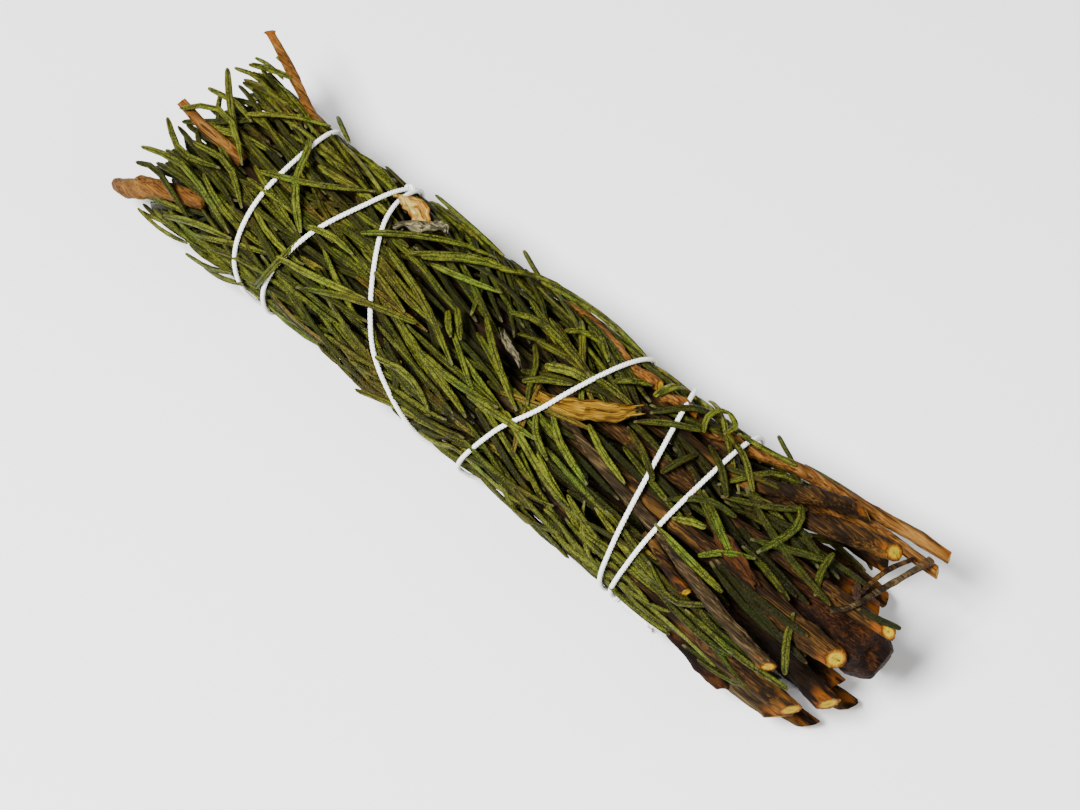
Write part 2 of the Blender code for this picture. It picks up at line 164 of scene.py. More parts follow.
def show(name: str, mesh: bpy.types.Mesh, materials: list[Material], slot: str, *nodes: str) -> None:
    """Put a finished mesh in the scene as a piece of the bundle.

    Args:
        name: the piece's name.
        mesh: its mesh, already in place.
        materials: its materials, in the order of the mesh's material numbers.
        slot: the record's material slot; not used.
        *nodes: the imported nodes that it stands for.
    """
    for material in materials:
        mesh.materials.append(material)
    piece = stand(name, mesh)
    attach(piece, "root")
    if nodes:
        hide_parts(*nodes)
    LOG.info("%s: %d faces", name, len(mesh.polygons))


# -------------------------------------------------------------------- the form


@dataclass(frozen=True)
class BundleForm:
    """The round, slightly tapered body that the sprigs are packed into."""

    half_width: float = 0.0207
    half_height: float = 0.0189
    roundness: float = 2.2
    axis_y: float = -0.0022
    axis_z: float = 0.0176
    # share that the radius grows by for each metre towards the cuts
    taper: float = 0.78
    tip_x: float = -0.0975
    cut_x: float = 0.0975
    sprigs: int = 14
    first_deg: float = 10.0
    twist_deg: float = 110.0

    def skin(self, x: Array, turn: Array) -> Array:
        """Radius of the wrapped bundle.

        Args:
            x: places along the bundle.
            turn: angles round it, in radians.

        Returns:
            The radius at each place.
        """
        cos, sin = np.cos(turn), np.sin(turn)
        r = (np.abs(cos) / self.half_width) ** self.roundness
        r = (r + (np.abs(sin) / self.half_height) ** self.roundness) ** (-1.0 / self.roundness)
        r = r * (1.0 + self.taper * x)
        flat = self.axis_z / np.maximum(-sin, 1e-6)
        return np.where(sin < -0.05, np.minimum(r, flat), r)

    def spot(self, x: Array, turn: Array, depth: Array) -> Array:
        """Points at a depth under the wrapped surface.

        Args:
            x: places along the bundle.
            turn: angles round it, in radians.
            depth: depths, positive inwards.

        Returns:
            An array of points.
        """
        x, turn, depth = np.broadcast_arrays(np.asarray(x, float), turn, depth)
        r = self.skin(x, turn) - depth
        return np.stack([x, self.axis_y + r * np.cos(turn), self.axis_z + r * np.sin(turn)], axis=-1)

    def spots(self, stations: Rows, sign: float = 1.0) -> Array:
        """Points of rows of x (mm), angle and depth (mm), which is a height where the sign is -1."""
        x, deg, depth = np.array(stations, float)[:, :3].T
        return self.spot(x * MM, np.radians(deg), sign * depth * MM)

    def outward(self, points: Array) -> Array:
        """Directions straight out of the bundle at these points."""
        turn, _ = self.polar(points)
        return np.stack([0.0 * turn, np.cos(turn), np.sin(turn)], axis=-1)

    def polar(self, points: Array) -> tuple[Array, Array]:
        """Angle of each point round the bundle, and its distance from the middle."""
        y, z = points[..., 1] - self.axis_y, points[..., 2] - self.axis_z
        return np.arctan2(z, y), np.hypot(y, z)

    def sprig_turn(self, index: int, x: float) -> float:
        """Angle of an outer sprig's middle at x, in radians."""
        return math.radians(self.first_deg + 360.0 * index / self.sprigs) + math.radians(self.twist_deg) * x

    def sprig_of(self, x: float, turn: float) -> int:
        """Number of the outer sprig that a place belongs to."""
        return int(round((turn - self.sprig_turn(0, x)) / (math.tau / self.sprigs))) % self.sprigs

    def leafy_end(self, turn: Array) -> Array:
        """Where the leaf tips stop: the end is ragged and a little oblique.

        Args:
            turn: angles round the bundle.

        Returns:
            The least x of the leaves at each angle.
        """
        ragged = [noise.noise(Vector((2.6 * math.cos(t), 2.6 * math.sin(t), 4.0))) for t in turn]
        slope = (0.5 + 0.5 * np.cos(turn - 1.54)) ** 2
        return self.tip_x + 0.0062 + 0.0066 * slope + 0.0042 * np.array(ragged)

    def stem_depth(self, x: float, turn: float) -> float:
        """Depth of an outer sprig's stem, which rises towards the cuts."""
        t = min(1.0, max(0.0, (x + 0.005) / 0.055))
        return float(self.skin(x, turn)) * (0.40 - 0.20 * t * t * (3.0 - 2.0 * t))


FORM = BundleForm()


@dataclass(frozen=True)
class StringRoute:
    """Where the string runs, as turn round the bundle and place along it."""

    radius: float = 0.0006
    crossing_deg: float = 590.0
    crossing_lift: float = 0.00165
    crossing_span: float = 26.0
    # total turn in degrees, place along the bundle in millimetres
    winding: Rows = (
        (34, -38.7), (75, -40.5), (120, -45.2), (165, -48.8), (215, -50.4), (270, -54.2),
        (340, -60.0), (384, -61.5), (432, -59.3), (488, -58.8), (533, -57.2), (575, -53.6),
        (640, -48.0), (700, -42.0), (750, -38.5), (801, -34.5), (862, -21.0), (902, -9.2),
        (990, 8.0), (1060, 19.5), (1114, 24.2), (1186, 18.5), (1221, 12.2), (1266, 6.4),
        (1290, 7.5), (1350, 17.0), (1420, 29.5), (1478, 36.3), (1541, 42.4), (1590, 45.0),
        (1640, 44.6), (1710, 46.6), (1780, 50.5), (1850, 52.0), (1900, 51.6), (1950, 49.6),
        (1992, 47.3), (2004, 49.2), (2003, 53.0), (1999, 56.8))

    def depth(self, deg: Array) -> Array:
        """Depth of the string's centre: it beds in below and lifts where it crosses itself.

        Args:
            deg: total turns in degrees.

        Returns:
            The depths in metres.
        """
        under = np.clip((-np.sin(np.radians(deg)) - 0.45) / 0.55, 0.0, 1.0)
        off = np.clip(np.abs(deg - self.crossing_deg) / self.crossing_span, 0.0, 1.0)
        lift = self.crossing_lift * np.cos(0.5 * math.pi * off) ** 2
        return 0.0002 + 0.00045 * np.minimum(1.0, 1.6 * under) - lift

    def stations(self, per_span: int) -> Array:
        """Smooth run of turn and place through the winding.

        Args:
            per_span: how many stations each span of the winding gets.

        Returns:
            Rows of turn in degrees and x in metres.
        """
        knots = np.array(self.winding, float)
        run = curve_through(knots, knots[0], knots[-1], per_span)
        run[:, 1] *= MM
        return run

    def line(self, per_span: int) -> Array:
        """Points along the string's centre."""
        deg, x = self.stations(per_span).T
        return FORM.spot(x, np.radians(deg), self.depth(deg))


ROUTE = StringRoute()


# --------------------------------------------------- directions along the form


def around(side: Array, up: Array, turn: Array) -> Array:
    """Directions at a turn from the side towards up."""
    turn = turn[:, None]
    return side * np.cos(turn) + up * np.sin(turn)


def frames(line: Array) -> tuple[Array, Array, Array]:
    """Directions ahead along a line, to its side and out of the bundle, at each of its points."""
    ahead = unit(np.gradient(line, axis=0))
    side = unit(np.cross(ahead, FORM.outward(line)))
    return ahead, side, np.cross(side, ahead)


# ---------------------------------------------------------------- the finishes


class Recipe:
    """A material being mixed: short calls that add and join shader nodes."""

    def __init__(self, name: str) -> None:
        """Start a material of this name with an empty mix."""
        self.material = bpy.data.materials.new(name)
        self.material.use_nodes = True
        self.tree = self.material.node_tree
        self.place = self.node("ShaderNodeTexCoord", {}).outputs["Object"]

    def feed(self, node: bpy.types.Node, feeds: dict[object, object]) -> None:
        """Join a node's sockets to others, or set their values.

        Args:
            node: the node.
            feeds: a socket or a value for each input, by name or number.
        """
        for key, value in feeds.items():
            if isinstance(value, Socket):
                self.tree.links.new(value, node.inputs[key])
            else:
                node.inputs[key].default_value = value

    def node(self, kind: str, feeds: dict[object, object], **settings: object) -> bpy.types.Node:
        """Add a node.

        Args:
            kind: the node's type name.
            feeds: what its inputs get.
            **settings: its properties.

        Returns:
            The node.
        """
        node = self.tree.nodes.new(kind)
        for key, value in settings.items():
            setattr(node, key, value)
        self.feed(node, feeds)
        return node

    def maths(self, operation: str, a: object, b: object = 0.5, c: object = 0.5) -> Socket:
        """One sum on up to three numbers."""
        return self.node("ShaderNodeMath", {0: a, 1: b, 2: c}, operation=operation).outputs[0]

    def span(self, value: object, low: float, high: float, start: float = 0.0, stop: float = 1.0) -> Socket:
        """Ease a number that goes from low to high into one that goes from start to stop."""
        feeds = {"Value": value, "From Min": low, "From Max": high, "To Min": start, "To Max": stop}
        return self.node("ShaderNodeMapRange", feeds, interpolation_type="SMOOTHSTEP").outputs["Result"]

    def mix(self, amount: object, under: object, over: object, blend: str = "MIX") -> Socket:
        """Lay one colour over another by an amount.

        Args:
            amount: how much of the upper colour shows.
            under: the lower colour.
            over: the upper colour.
            blend: how they mix.

        Returns:
            The mixed colour.
        """
        under, over = ((*c, 1.0) if isinstance(c, tuple) else c for c in (under, over))
        feeds = {"Factor": amount, 6: under, 7: over}
        return self.node("ShaderNodeMix", feeds, data_type="RGBA", blend_type=blend).outputs[2]

    def veil(self, body: object, colour: Colour, value: Socket, low: float, high: float, most: float,
             blend: str = "MIX") -> Socket:
        """Lay a colour over the body, up to a share of most, as a number goes from low to high."""
        return self.mix(self.span(value, low, high, 0.0, most), body, colour, blend)

    def ramp(self, amount: object, stops: list[tuple[float, Colour]]) -> Socket:
        """Colour ramp.

        Args:
            amount: the number to look up.
            stops: places from 0 to 1 and their colours.

        Returns:
            The colour.
        """
        node = self.node("ShaderNodeValToRGB", {0: amount})
        elements = node.color_ramp.elements
        while len(elements) < len(stops):
            elements.new(0.5)
        for element, (place, colour) in zip(elements, stops):
            element.position, element.color = place, (*colour, 1.0)
        return node.outputs[0]

    def grain(self, scale: float, stretch: Triple = (1.0, 1.0, 1.0), detail: float = 3.0) -> Socket:
        """Cloudy noise at the mix's place.

        Args:
            scale: cells per metre.
            stretch: how the three axes are scaled.
            detail: levels of finer noise.

        Returns:
            A number from 0 to 1.
        """
        mapping = self.node("ShaderNodeMapping", {"Vector": self.place, "Scale": stretch})
        feeds = {"Vector": mapping.outputs[0], "Scale": scale, "Detail": detail}
        return self.node("ShaderNodeTexNoise", feeds).outputs["Fac"]

    def joined(self, *parts: Socket) -> Socket:
        """Vector of two or three numbers."""
        return self.node("ShaderNodeCombineXYZ", dict(enumerate(parts))).outputs[0]

    def channels(self, attribute: str) -> tuple[Socket, ...]:
        """The red, green, blue and alpha numbers of a colour attribute."""
        source = self.node("ShaderNodeAttribute", {}, attribute_name=attribute)
        parts = self.node("ShaderNodeSeparateColor", {0: source.outputs["Color"]})
        return (*parts.outputs[:3], source.outputs["Alpha"])

    def bump(self, height: object, strength: float, distance: float, below: Socket | None = None) -> Socket:
        """Bump of a size in metres from a height, on top of the bump below it when there is one."""
        feeds = {"Height": height, "Strength": strength, "Distance": distance}
        return self.node("ShaderNodeBump", {**feeds, "Normal": below} if below else feeds).outputs[0]

    def finish(self, colour: object, roughness: object, feeds: dict[str, object] | None = None) -> Material:
        """Join the mix to the shader.

        Args:
            colour: the surface's colour.
            roughness: its roughness.
            feeds: what other inputs of the shader get.

        Returns:
            The material.
        """
        shader = self.tree.nodes["Principled BSDF"]
        self.feed(shader, {"Base Color": colour, "Roughness": roughness, **(feeds or {})})
        return self.material


@dataclass(frozen=True)
class LeafFinish:
    """Leathery rosemary leaf: pebbled green halves, a sunk midline, a felted underside; its highlights and
    the shade in its midline, streaks and pebble hollows are painted.
    """

    # deep is also the colour of the painted shade, and bright the colour of the painted highlights
    deep: Colour = (0.0060, 0.0058, 0.0003)
    olive: Colour = (0.040, 0.046, 0.0026)
    bright: Colour = (0.146, 0.161, 0.0135)
    bronze: Colour = (0.056, 0.032, 0.0040)
    straw: Colour = (0.120, 0.066, 0.009)
    felt: Colour = (0.085, 0.080, 0.020)
    fuzz: Colour = (0.170, 0.150, 0.070)
    fresh: Colour = (0.66, 1.0, 0.90)

    def build(self) -> Material:
        """Mix the leaf material.

        Returns:
            The material, which reads each leaf's own place and tint.
        """
        mix = Recipe("rosemary_leaf_dressed")
        across, along, tint, upper = mix.channels("blade")
        aside = mix.maths("ABSOLUTE", mix.maths("MULTIPLY_ADD", across, 2.0, -1.0))
        body = mix.ramp(tint, [(0.0, self.deep), (0.42, self.olive), (0.86, self.bright), (0.97, self.straw)])
        hue = mix.grain(75.0)
        body = mix.veil(body, self.bronze, hue, 0.54, 0.70, 0.62)
        body = mix.veil(body, self.fresh, hue, 0.46, 0.32, 0.85, "MULTIPLY")
        cloud = mix.grain(420.0, detail=4.0)
        body = mix.veil(body, self.deep, cloud, 0.44, 0.70, 0.50)
        pebble = mix.node("ShaderNodeTexVoronoi", {"Vector": mix.place, "Scale": 2900.0}).outputs["Distance"]
        # painted highlight: bright specks on the pebbles of each leaf's raised halves, fewer on dark leaves
        half = mix.maths("MULTIPLY", mix.span(aside, 0.10, 0.30), mix.span(aside, 0.95, 0.60))
        highlight_speck = mix.maths("MULTIPLY", mix.span(pebble, 0.48, 0.16), mix.span(tint, 0.10, 0.55))
        body = mix.mix(mix.maths("MULTIPLY", mix.maths("MULTIPLY", half, highlight_speck), 0.38), body, self.bright)
        # how strong the painted shade between the pebbles is, patch by patch
        pebble_shade = mix.span(mix.grain(700.0), 0.34, 0.66, 0.25, 0.78)
        roughness = mix.span(mix.grain(900.0), 0.3, 0.7, 0.40, 0.60)
        mix.place = mix.joined(across, along, tint)
        # painted shade and painted highlight: dark and light streaks along each leaf, the light ones only on
        # brighter leaves
        streak_light_and_shade = mix.grain(1.0, (7.0, 5.0, 60.0))
        body = mix.veil(body, self.deep, streak_light_and_shade, 0.50, 0.36, 0.72)
        light = mix.maths("MULTIPLY", mix.span(streak_light_and_shade, 0.52, 0.68), mix.span(tint, 0.15, 0.60))
        body = mix.mix(mix.maths("MULTIPLY", light, 0.42), body, self.bright)
        # painted shade along each leaf's sunk midline
        body = mix.veil(body, self.deep, aside, 0.17, 0.04, 0.75)
        # painted shade in the hollows between the pebbles
        body = mix.mix(mix.maths("MULTIPLY", mix.span(pebble, 0.30, 0.62), pebble_shade), body, self.deep)
        body = mix.veil(body, self.felt, upper, 0.42, 0.22, 0.55)
        body = mix.veil(body, self.straw, along, 0.975, 1.0, 0.55)
        body = mix.veil(body, self.fuzz, along, 0.070, 0.02, 0.36)
        normal = mix.bump(mix.maths("SUBTRACT", 1.0, pebble), 0.80, 0.00030)
        normal = mix.bump(cloud, 0.25, 0.0003, normal)
        return mix.finish(body, roughness, {"Specular IOR Level": 0.09, "Normal": normal})


class Bark(Enum):
    """Kinds of bark on the bundle's wood."""

    BROWN = "brown"
    GREY = "grey"
    ORANGE = "orange"
    STUMP = "stump"


@dataclass(frozen=True)
class BarkFinish:
    """Thin, flaking, long-fibred bark."""

    kind: Bark
    glow: Colour = (0.210, 0.060, 0.005)

    def tones(self) -> tuple[Colour, Colour, Colour]:
        """Dark, middle and pale colour of this kind of bark."""
        return {Bark.BROWN: ((0.0026, 0.0010, 0.0002), (0.025, 0.0105, 0.0016), (0.115, 0.055, 0.0110)),
                Bark.GREY: ((0.0040, 0.0022, 0.0007), (0.030, 0.0180, 0.0060), (0.125, 0.083, 0.033)),
                Bark.ORANGE: ((0.0190, 0.0060, 0.0008), (0.110, 0.041, 0.0055), (0.235, 0.115, 0.0260)),
                Bark.STUMP: ((0.0016, 0.0005, 0.0001), (0.014, 0.0040, 0.0006), (0.060, 0.0200, 0.0040))
                }[self.kind]

    def build(self) -> Material:
        """Mix the bark material of this kind.

        Returns:
            The material, which reads how near a cut a point lies, and how deep in the bundle, which darkens
            the bark as painted shade.
        """
        dark, middle, pale = self.tones()
        mix = Recipe("stem_bark_" + self.kind.value)
        _, near, depth_shade, _ = mix.channels("cut")
        fibre = mix.grain(1.0, (150.0, 3400.0, 3400.0), 6.0)
        patch = mix.grain(230.0, (0.22, 1.0, 1.0), 5.0)
        crack = mix.grain(1.0, (60.0, 1700.0, 1700.0), 3.0)
        body = mix.ramp(fibre, [(0.30, dark), (0.50, middle), (0.72, pale)])
        body = mix.veil(body, pale, patch, 0.52, 0.66, 0.60)
        stain = 0.35 if self.kind is Bark.ORANGE else 0.85
        body = mix.veil(body, dark, mix.grain(360.0, (0.25, 1.0, 1.0)), 0.56, 0.38, stain)
        body = mix.veil(body, dark, crack, 0.43, 0.36, 0.85)
        # painted shade: bark deep in the bundle is darkened towards its dark tone
        body = mix.veil(body, dark, depth_shade, 0.0, 1.0, 0.85)
        spread = mix.span(mix.grain(620.0, (0.4, 1.0, 1.0)), 0.42, 0.62)
        near = mix.maths("MULTIPLY", mix.span(near, 0.15, 0.95), spread)
        body = mix.mix(mix.maths("MULTIPLY", near, 0.62), body, self.glow)
        normal = mix.bump(fibre, 0.85, 0.0005)
        normal = mix.bump(crack, 0.8, 0.0007, normal)
        normal = mix.bump(patch, 0.5, 0.0008, normal)
        roughness = mix.span(patch, 0.3, 0.7, 0.62, 0.82)
        return mix.finish(body, roughness, {"Specular IOR Level": 0.08, "Normal": normal})


@dataclass(frozen=True)
class CutFinish:
    """Cut across a stem: fresh pale wood with an orange rim, or an old dark one."""

    old: bool = False

    def build(self) -> Material:
        """Mix the cut-wood material.

        Returns:
            The material, which reads how far from the middle of the cut a point lies.
        """
        fresh = [(0.04, (0.14, 0.060, 0.004)), (0.18, (0.29, 0.200, 0.006)), (0.52, (0.34, 0.245, 0.008)),
                 (0.70, (0.22, 0.078, 0.003)), (0.90, (0.06, 0.015, 0.001))]
        aged = [(0.10, (0.028, 0.010, 0.003)), (0.60, (0.050, 0.018, 0.005)), (0.86, (0.018, 0.007, 0.002)),
                (0.97, (0.120, 0.060, 0.014))]
        mix = Recipe("cut_wood_old" if self.old else "cut_wood")
        rough = mix.grain(1300.0, detail=4.0)
        place = mix.maths("ADD", mix.channels("cut")[0], mix.maths("MULTIPLY_ADD", rough, 0.36, -0.18))
        body = mix.ramp(place, aged if self.old else fresh)
        if not self.old:
            body = mix.veil(body, (0.42, 0.30, 0.022), rough, 0.50, 0.72, 0.40)
        return mix.finish(body, 0.8, {"Specular IOR Level": 0.10, "Normal": mix.bump(rough, 0.8, 0.0005)})


@dataclass(frozen=True)
class CottonFinish:
    """Off-white twisted cotton, a little soiled."""

    colour: Colour = (0.84, 0.84, 0.81)
    worn: Colour = (0.66, 0.65, 0.58)
    soiled: Colour = (0.58, 0.57, 0.44)

    def build(self) -> Material:
        """Mix the string material.

        Returns:
            The material.
        """
        mix = Recipe("cotton_string_dressed")
        fibre = mix.grain(5200.0)
        body = mix.veil(self.colour, self.worn, fibre, 0.35, 0.7, 0.35)
        body = mix.veil(body, self.soiled, mix.grain(130.0), 0.52, 0.75, 0.20)
        return mix.finish(body, 0.85, {"Sheen Weight": 0.25, "Normal": mix.bump(fibre, 0.5, 0.0002)})


@dataclass(frozen=True)
class FlakeFinish:
    """Fibres that run along a flake of torn bark, bare wood or dried felt."""

    name: str
    dark: Colour
    middle: Colour
    pale: Colour
    # where across the flake the pale side starts
    pale_side: float = 0.75

    def build(self) -> Material:
        """Mix the flake's material.

        Returns:
            The material, which reads how far along and across the flake a point lies.
        """
        mix = Recipe(self.name)
        along, across, edge, _ = mix.channels("strip")
        mix.place = mix.joined(along, across)
        fibre = mix.grain(1.0, (5.0, 34.0, 1.0), 5.0)
        patch = mix.grain(1.0, (5.0, 3.0, 1.0))
        split = mix.grain(1.0, (2.2, 16.0, 1.0), 2.0)
        body = mix.ramp(fibre, [(0.34, self.dark), (0.47, self.middle), (0.66, self.pale)])
        side = mix.maths("ADD", across, mix.maths("MULTIPLY_ADD", patch, 0.5, -0.25))
        body = mix.veil(body, self.pale, side, self.pale_side - 0.08, self.pale_side + 0.08, 0.75)
        body = mix.veil(body, self.dark, patch, 0.48, 0.38, 0.70)
        body = mix.veil(body, self.dark, split, 0.42, 0.37, 0.85)
        body = mix.veil(body, self.dark, edge, 0.75, 1.0, 0.70)
        return mix.finish(body, 0.75, {"Specular IOR Level": 0.10, "Normal": mix.bump(fibre, 0.9, 0.0005)})


@dataclass(frozen=True)
class FloorFinish:
    """Plain pale studio floor."""

    colour: Colour = (0.86, 0.86, 0.86)

    def build(self) -> Material:
        """Mix the floor material."""
        return Recipe("studio_floor").finish((*self.colour, 1.0), 0.9)


# ------------------------------------------------------- drawing ring by ring


def start_ring(bm: BMesh, sides: int) -> Ring:
    """Start a rod with a capped ring of points."""
    return list(bmesh.ops.create_circle(bm, cap_ends=True, segments=sides, radius=1.0)["verts"])


def ring_edges(bm: BMesh, ring: Ring) -> list[bmesh.types.BMEdge]:
    """Edges that join a ring's points."""
    return [bm.edges.get((a, b)) for a, b in zip(ring, ring[1:] + ring[:1])]


def extend_ring(bm: BMesh, ring: Ring) -> Ring:
    """Extrude a ring's edges once.

    Args:
        bm: the mesh being drawn.
        ring: the ring's points in order.

    Returns:
        The points of the new ring in the same order.
    """
    made = bmesh.ops.extrude_edge_only(bm, edges=ring_edges(bm, ring))
    fresh = {g for g in made["geom"] if isinstance(g, bmesh.types.BMVert)}
    return [next(e.other_vert(v) for e in v.link_edges if e.other_vert(v) in fresh) for v in ring]


def close_ring(bm: BMesh, ring: Ring) -> bmesh.types.BMFace:
    """Cap the last ring and give back its face."""
    return bmesh.ops.contextual_create(bm, geom=ring_edges(bm, ring))["faces"][0]


# ---------------------------------------------------------------- the leaves


@dataclass
class Leaf:
    """One laid leaf: its middle line, its size, its tint and how far it is rolled over."""

    line: Array
    half_width: float
    half_thick: float
    tint: float
    roll: float = 0.0


@dataclass
class LeafShape:
    """One leaf as a straight strip: a rolled-edged section drawn along its length."""

    section: Rows = (
        (0.0, 0.34), (0.32, 0.90), (0.92, 0.26), (0.80, -0.66), (0.0, -0.30),
        (-0.80, -0.66), (-0.92, 0.26), (-0.32, 0.90))
    # place along the leaf, share of the width, share of the thickness
    stations: Rows = (
        (0.0, 0.32, 0.50), (0.07, 0.52, 0.75), (0.22, 0.86, 0.95), (0.42, 1.0, 1.0), (0.62, 1.0, 1.0),
        (0.80, 0.94, 1.0), (0.92, 0.80, 0.88), (0.975, 0.56, 0.66), (1.0, 0.22, 0.30))
    along: Array = field(init=False)
    points: Array = field(init=False)
    faces: list[tuple[int, ...]] = field(init=False)

    def __post_init__(self) -> None:
        """Draw the strip once with bmesh and keep its points and faces."""
        self.along = np.array(self.stations)[:, 0]
        bm = bmesh.new()
        ring = start_ring(bm, len(self.section))
        for i, (place, wide, thick) in enumerate(self.stations):
            if i:
                ring = extend_ring(bm, ring)
            for vert, (a, b) in zip(ring, self.section):
                vert.co = Vector((place, a * wide, b * thick))
        close_ring(bm, ring)
        bmesh.ops.recalc_face_normals(bm, faces=bm.faces)
        bm.verts.index_update()
        self.points = np.array([v.co[:] for v in bm.verts])
        self.faces = [tuple(v.index for v in f.verts) for f in bm.faces]
        bm.free()

    def show_copies(self, node: str, leaves: list[Leaf], material: Material) -> None:
        """Bend a copy of the leaf along each line and show them as one piece.

        Args:
            node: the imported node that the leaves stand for.
            leaves: the leaves to make.
            material: the leaf material.
        """
        base = self.points
        station = np.argmin(np.abs(base[:, :1] - self.along), axis=1)
        verts, faces = [], []
        for k, leaf in enumerate(leaves):
            _, side, up = frames(leaf.line)
            turn = leaf.roll * (0.6 + 0.8 * self.along)
            side, up = around(side, up, turn), around(up, -side, turn)
            bent = leaf.line[station] + side[station] * (base[:, 1:2] * leaf.half_width)
            verts.append(bent + up[station] * (base[:, 2:3] * leaf.half_thick))
            faces.extend(tuple(i + k * len(base) for i in face) for face in self.faces)
        verts = np.concatenate(verts)
        verts[:, 2] = np.maximum(verts[:, 2], TABLE_GAP)
        mesh = bpy.data.meshes.new(node + "_blades")
        mesh.from_pydata(verts.tolist(), [], faces)
        mesh.shade_smooth()
        along, across, rise = np.tile(base, (len(leaves), 1)).T
        tint = np.repeat([leaf.tint for leaf in leaves], len(base))
        paint(mesh, "blade", across * 0.5 + 0.5, along, tint, rise * 0.5 + 0.5)
        show(mesh.name, mesh, [material], "rosemary_leaf", node)


@dataclass
class Pile:
    """Depth of the heap of leaves under the wrapped surface, on a grid of places and turns."""

    floor_depth: float = 0.0092
    start_x: float = -0.1
    cell: float = 0.0005
    size: tuple[int, int] = (400, 256)
    radius: float = 0.0185
    free_hold: float = -0.0002
    hold_reach: float = 0.0048
    hold_flat: float = 0.0012
    # share of a leaf that may lie over a loose piece
    most_crossed: float = 0.06
    depth: Array = field(init=False)
    hold: Array = field(init=False)
    shut: Array = field(init=False)

    def __post_init__(self) -> None:
        """Start with an even, deep floor, and hold leaves down under and beside the string."""
        self.depth = np.full(self.size, self.floor_depth)
        self.hold = np.full(self.size, self.free_hold)
        self.shut = np.zeros(self.size, bool)
        half = int(self.hold_reach / self.cell)
        dx, dt = (g.ravel() for g in np.mgrid[-half:half + 1, -half:half + 1])
        far = np.hypot(dx, dt) * self.cell
        dx, dt, far = (g[far < self.hold_reach] for g in (dx, dt, far))
        ease = np.clip((far - self.hold_flat) / (self.hold_reach - self.hold_flat), 0.0, 1.0)
        for deg, x in ROUTE.stations(24):
            low = ROUTE.depth(deg) + ROUTE.radius + 0.0001
            at = self._cells(x + dx * self.cell, math.radians(deg) + dt * math.tau / self.size[1])
            self.hold[at] = np.maximum(self.hold[at], low * (1 - ease) + self.free_hold * ease)

    def _cells(self, x: Array, turn: Array) -> tuple[Array, Array]:
        """Grid cells of places on the bundle."""
        ix = np.clip(((x - self.start_x) / self.cell).astype(int), 0, self.size[0] - 1)
        return ix, np.round(turn / math.tau * self.size[1]).astype(int) % self.size[1]

    def _raise_to(self, x: Array, turn: Array, top: Array) -> None:
        """Raise the heap to these depths where it is lower."""
        at = self._cells(x, turn)
        self.depth[at] = np.minimum(self.depth[at], top)

    def keep_clear(self, line: Array, radius: float) -> None:
        """Keep leaves off a loose piece that lies in full view.

        Args:
            line: the piece's middle line.
            radius: how far it reaches to each side.
        """
        line = filled(line)
        for across in np.linspace(-radius, radius, 11):
            self.shut[self._cells(line[:, 0], FORM.polar(line)[0] + across / self.radius)] = True

    def raise_rod(self, line: Array, radius: float) -> None:
        """Let a stem that already lies in the bundle carry the leaves laid on it.

        Args:
            line: the stem's middle line.
            radius: its radius.
        """
        line = filled(line)
        middle, r = FORM.polar(line)
        for across in np.linspace(-radius, radius, 9):
            turn = middle + across / r
            top = FORM.skin(line[:, 0], turn) - (r + math.sqrt(max(radius ** 2 - across ** 2, 0.0)))
            self._raise_to(line[:, 0], turn, top)

    def lay(self, x: Array, turn: Array, half_width: float, thick: float, slope: float,
            highest: float) -> Array | None:
        """Lay a leaf on the heap along a line and raise the heap by it.

        Args:
            x: places along the bundle of the leaf's stations.
            turn: angles of the stations.
            half_width: half of the leaf's width.
            thick: the leaf's thickness.
            slope: how steeply it may climb.
            highest: least mean depth at which it still has room.

        Returns:
            Depths of the leaf's middle at its stations, or None where the heap is full.
        """
        edge = half_width / self.radius
        rows = [self.depth[self._cells(x, turn + k * edge)] for k in (-0.8, -0.4, 0.0, 0.4, 0.8)]
        along = run_length(np.column_stack([x, turn * self.radius]))
        lifted = np.min(np.min(rows, axis=0) + slope * np.abs(along[:, None] - along), axis=1)
        depth = np.maximum(lifted - 0.5 * thick, self.hold[self._cells(x, turn)] + 0.5 * thick)
        fine = np.linspace(0, along[-1], 60)
        fine_x, fine_turn = np.interp(fine, along, x), np.interp(fine, along, turn)
        crossed = self.shut[self._cells(fine_x, fine_turn)].mean()
        if lifted.mean() - 0.5 * thick < highest or crossed > self.most_crossed:
            return None
        depth[1:-1] = 0.5 * depth[1:-1] + 0.25 * (depth[:-2] + depth[2:])
        top = np.interp(fine, along, depth) - 0.5 * thick
        for k in (-0.9, -0.45, 0.0, 0.45, 0.9):
            self._raise_to(fine_x, fine_turn + k * edge, top)
        return depth


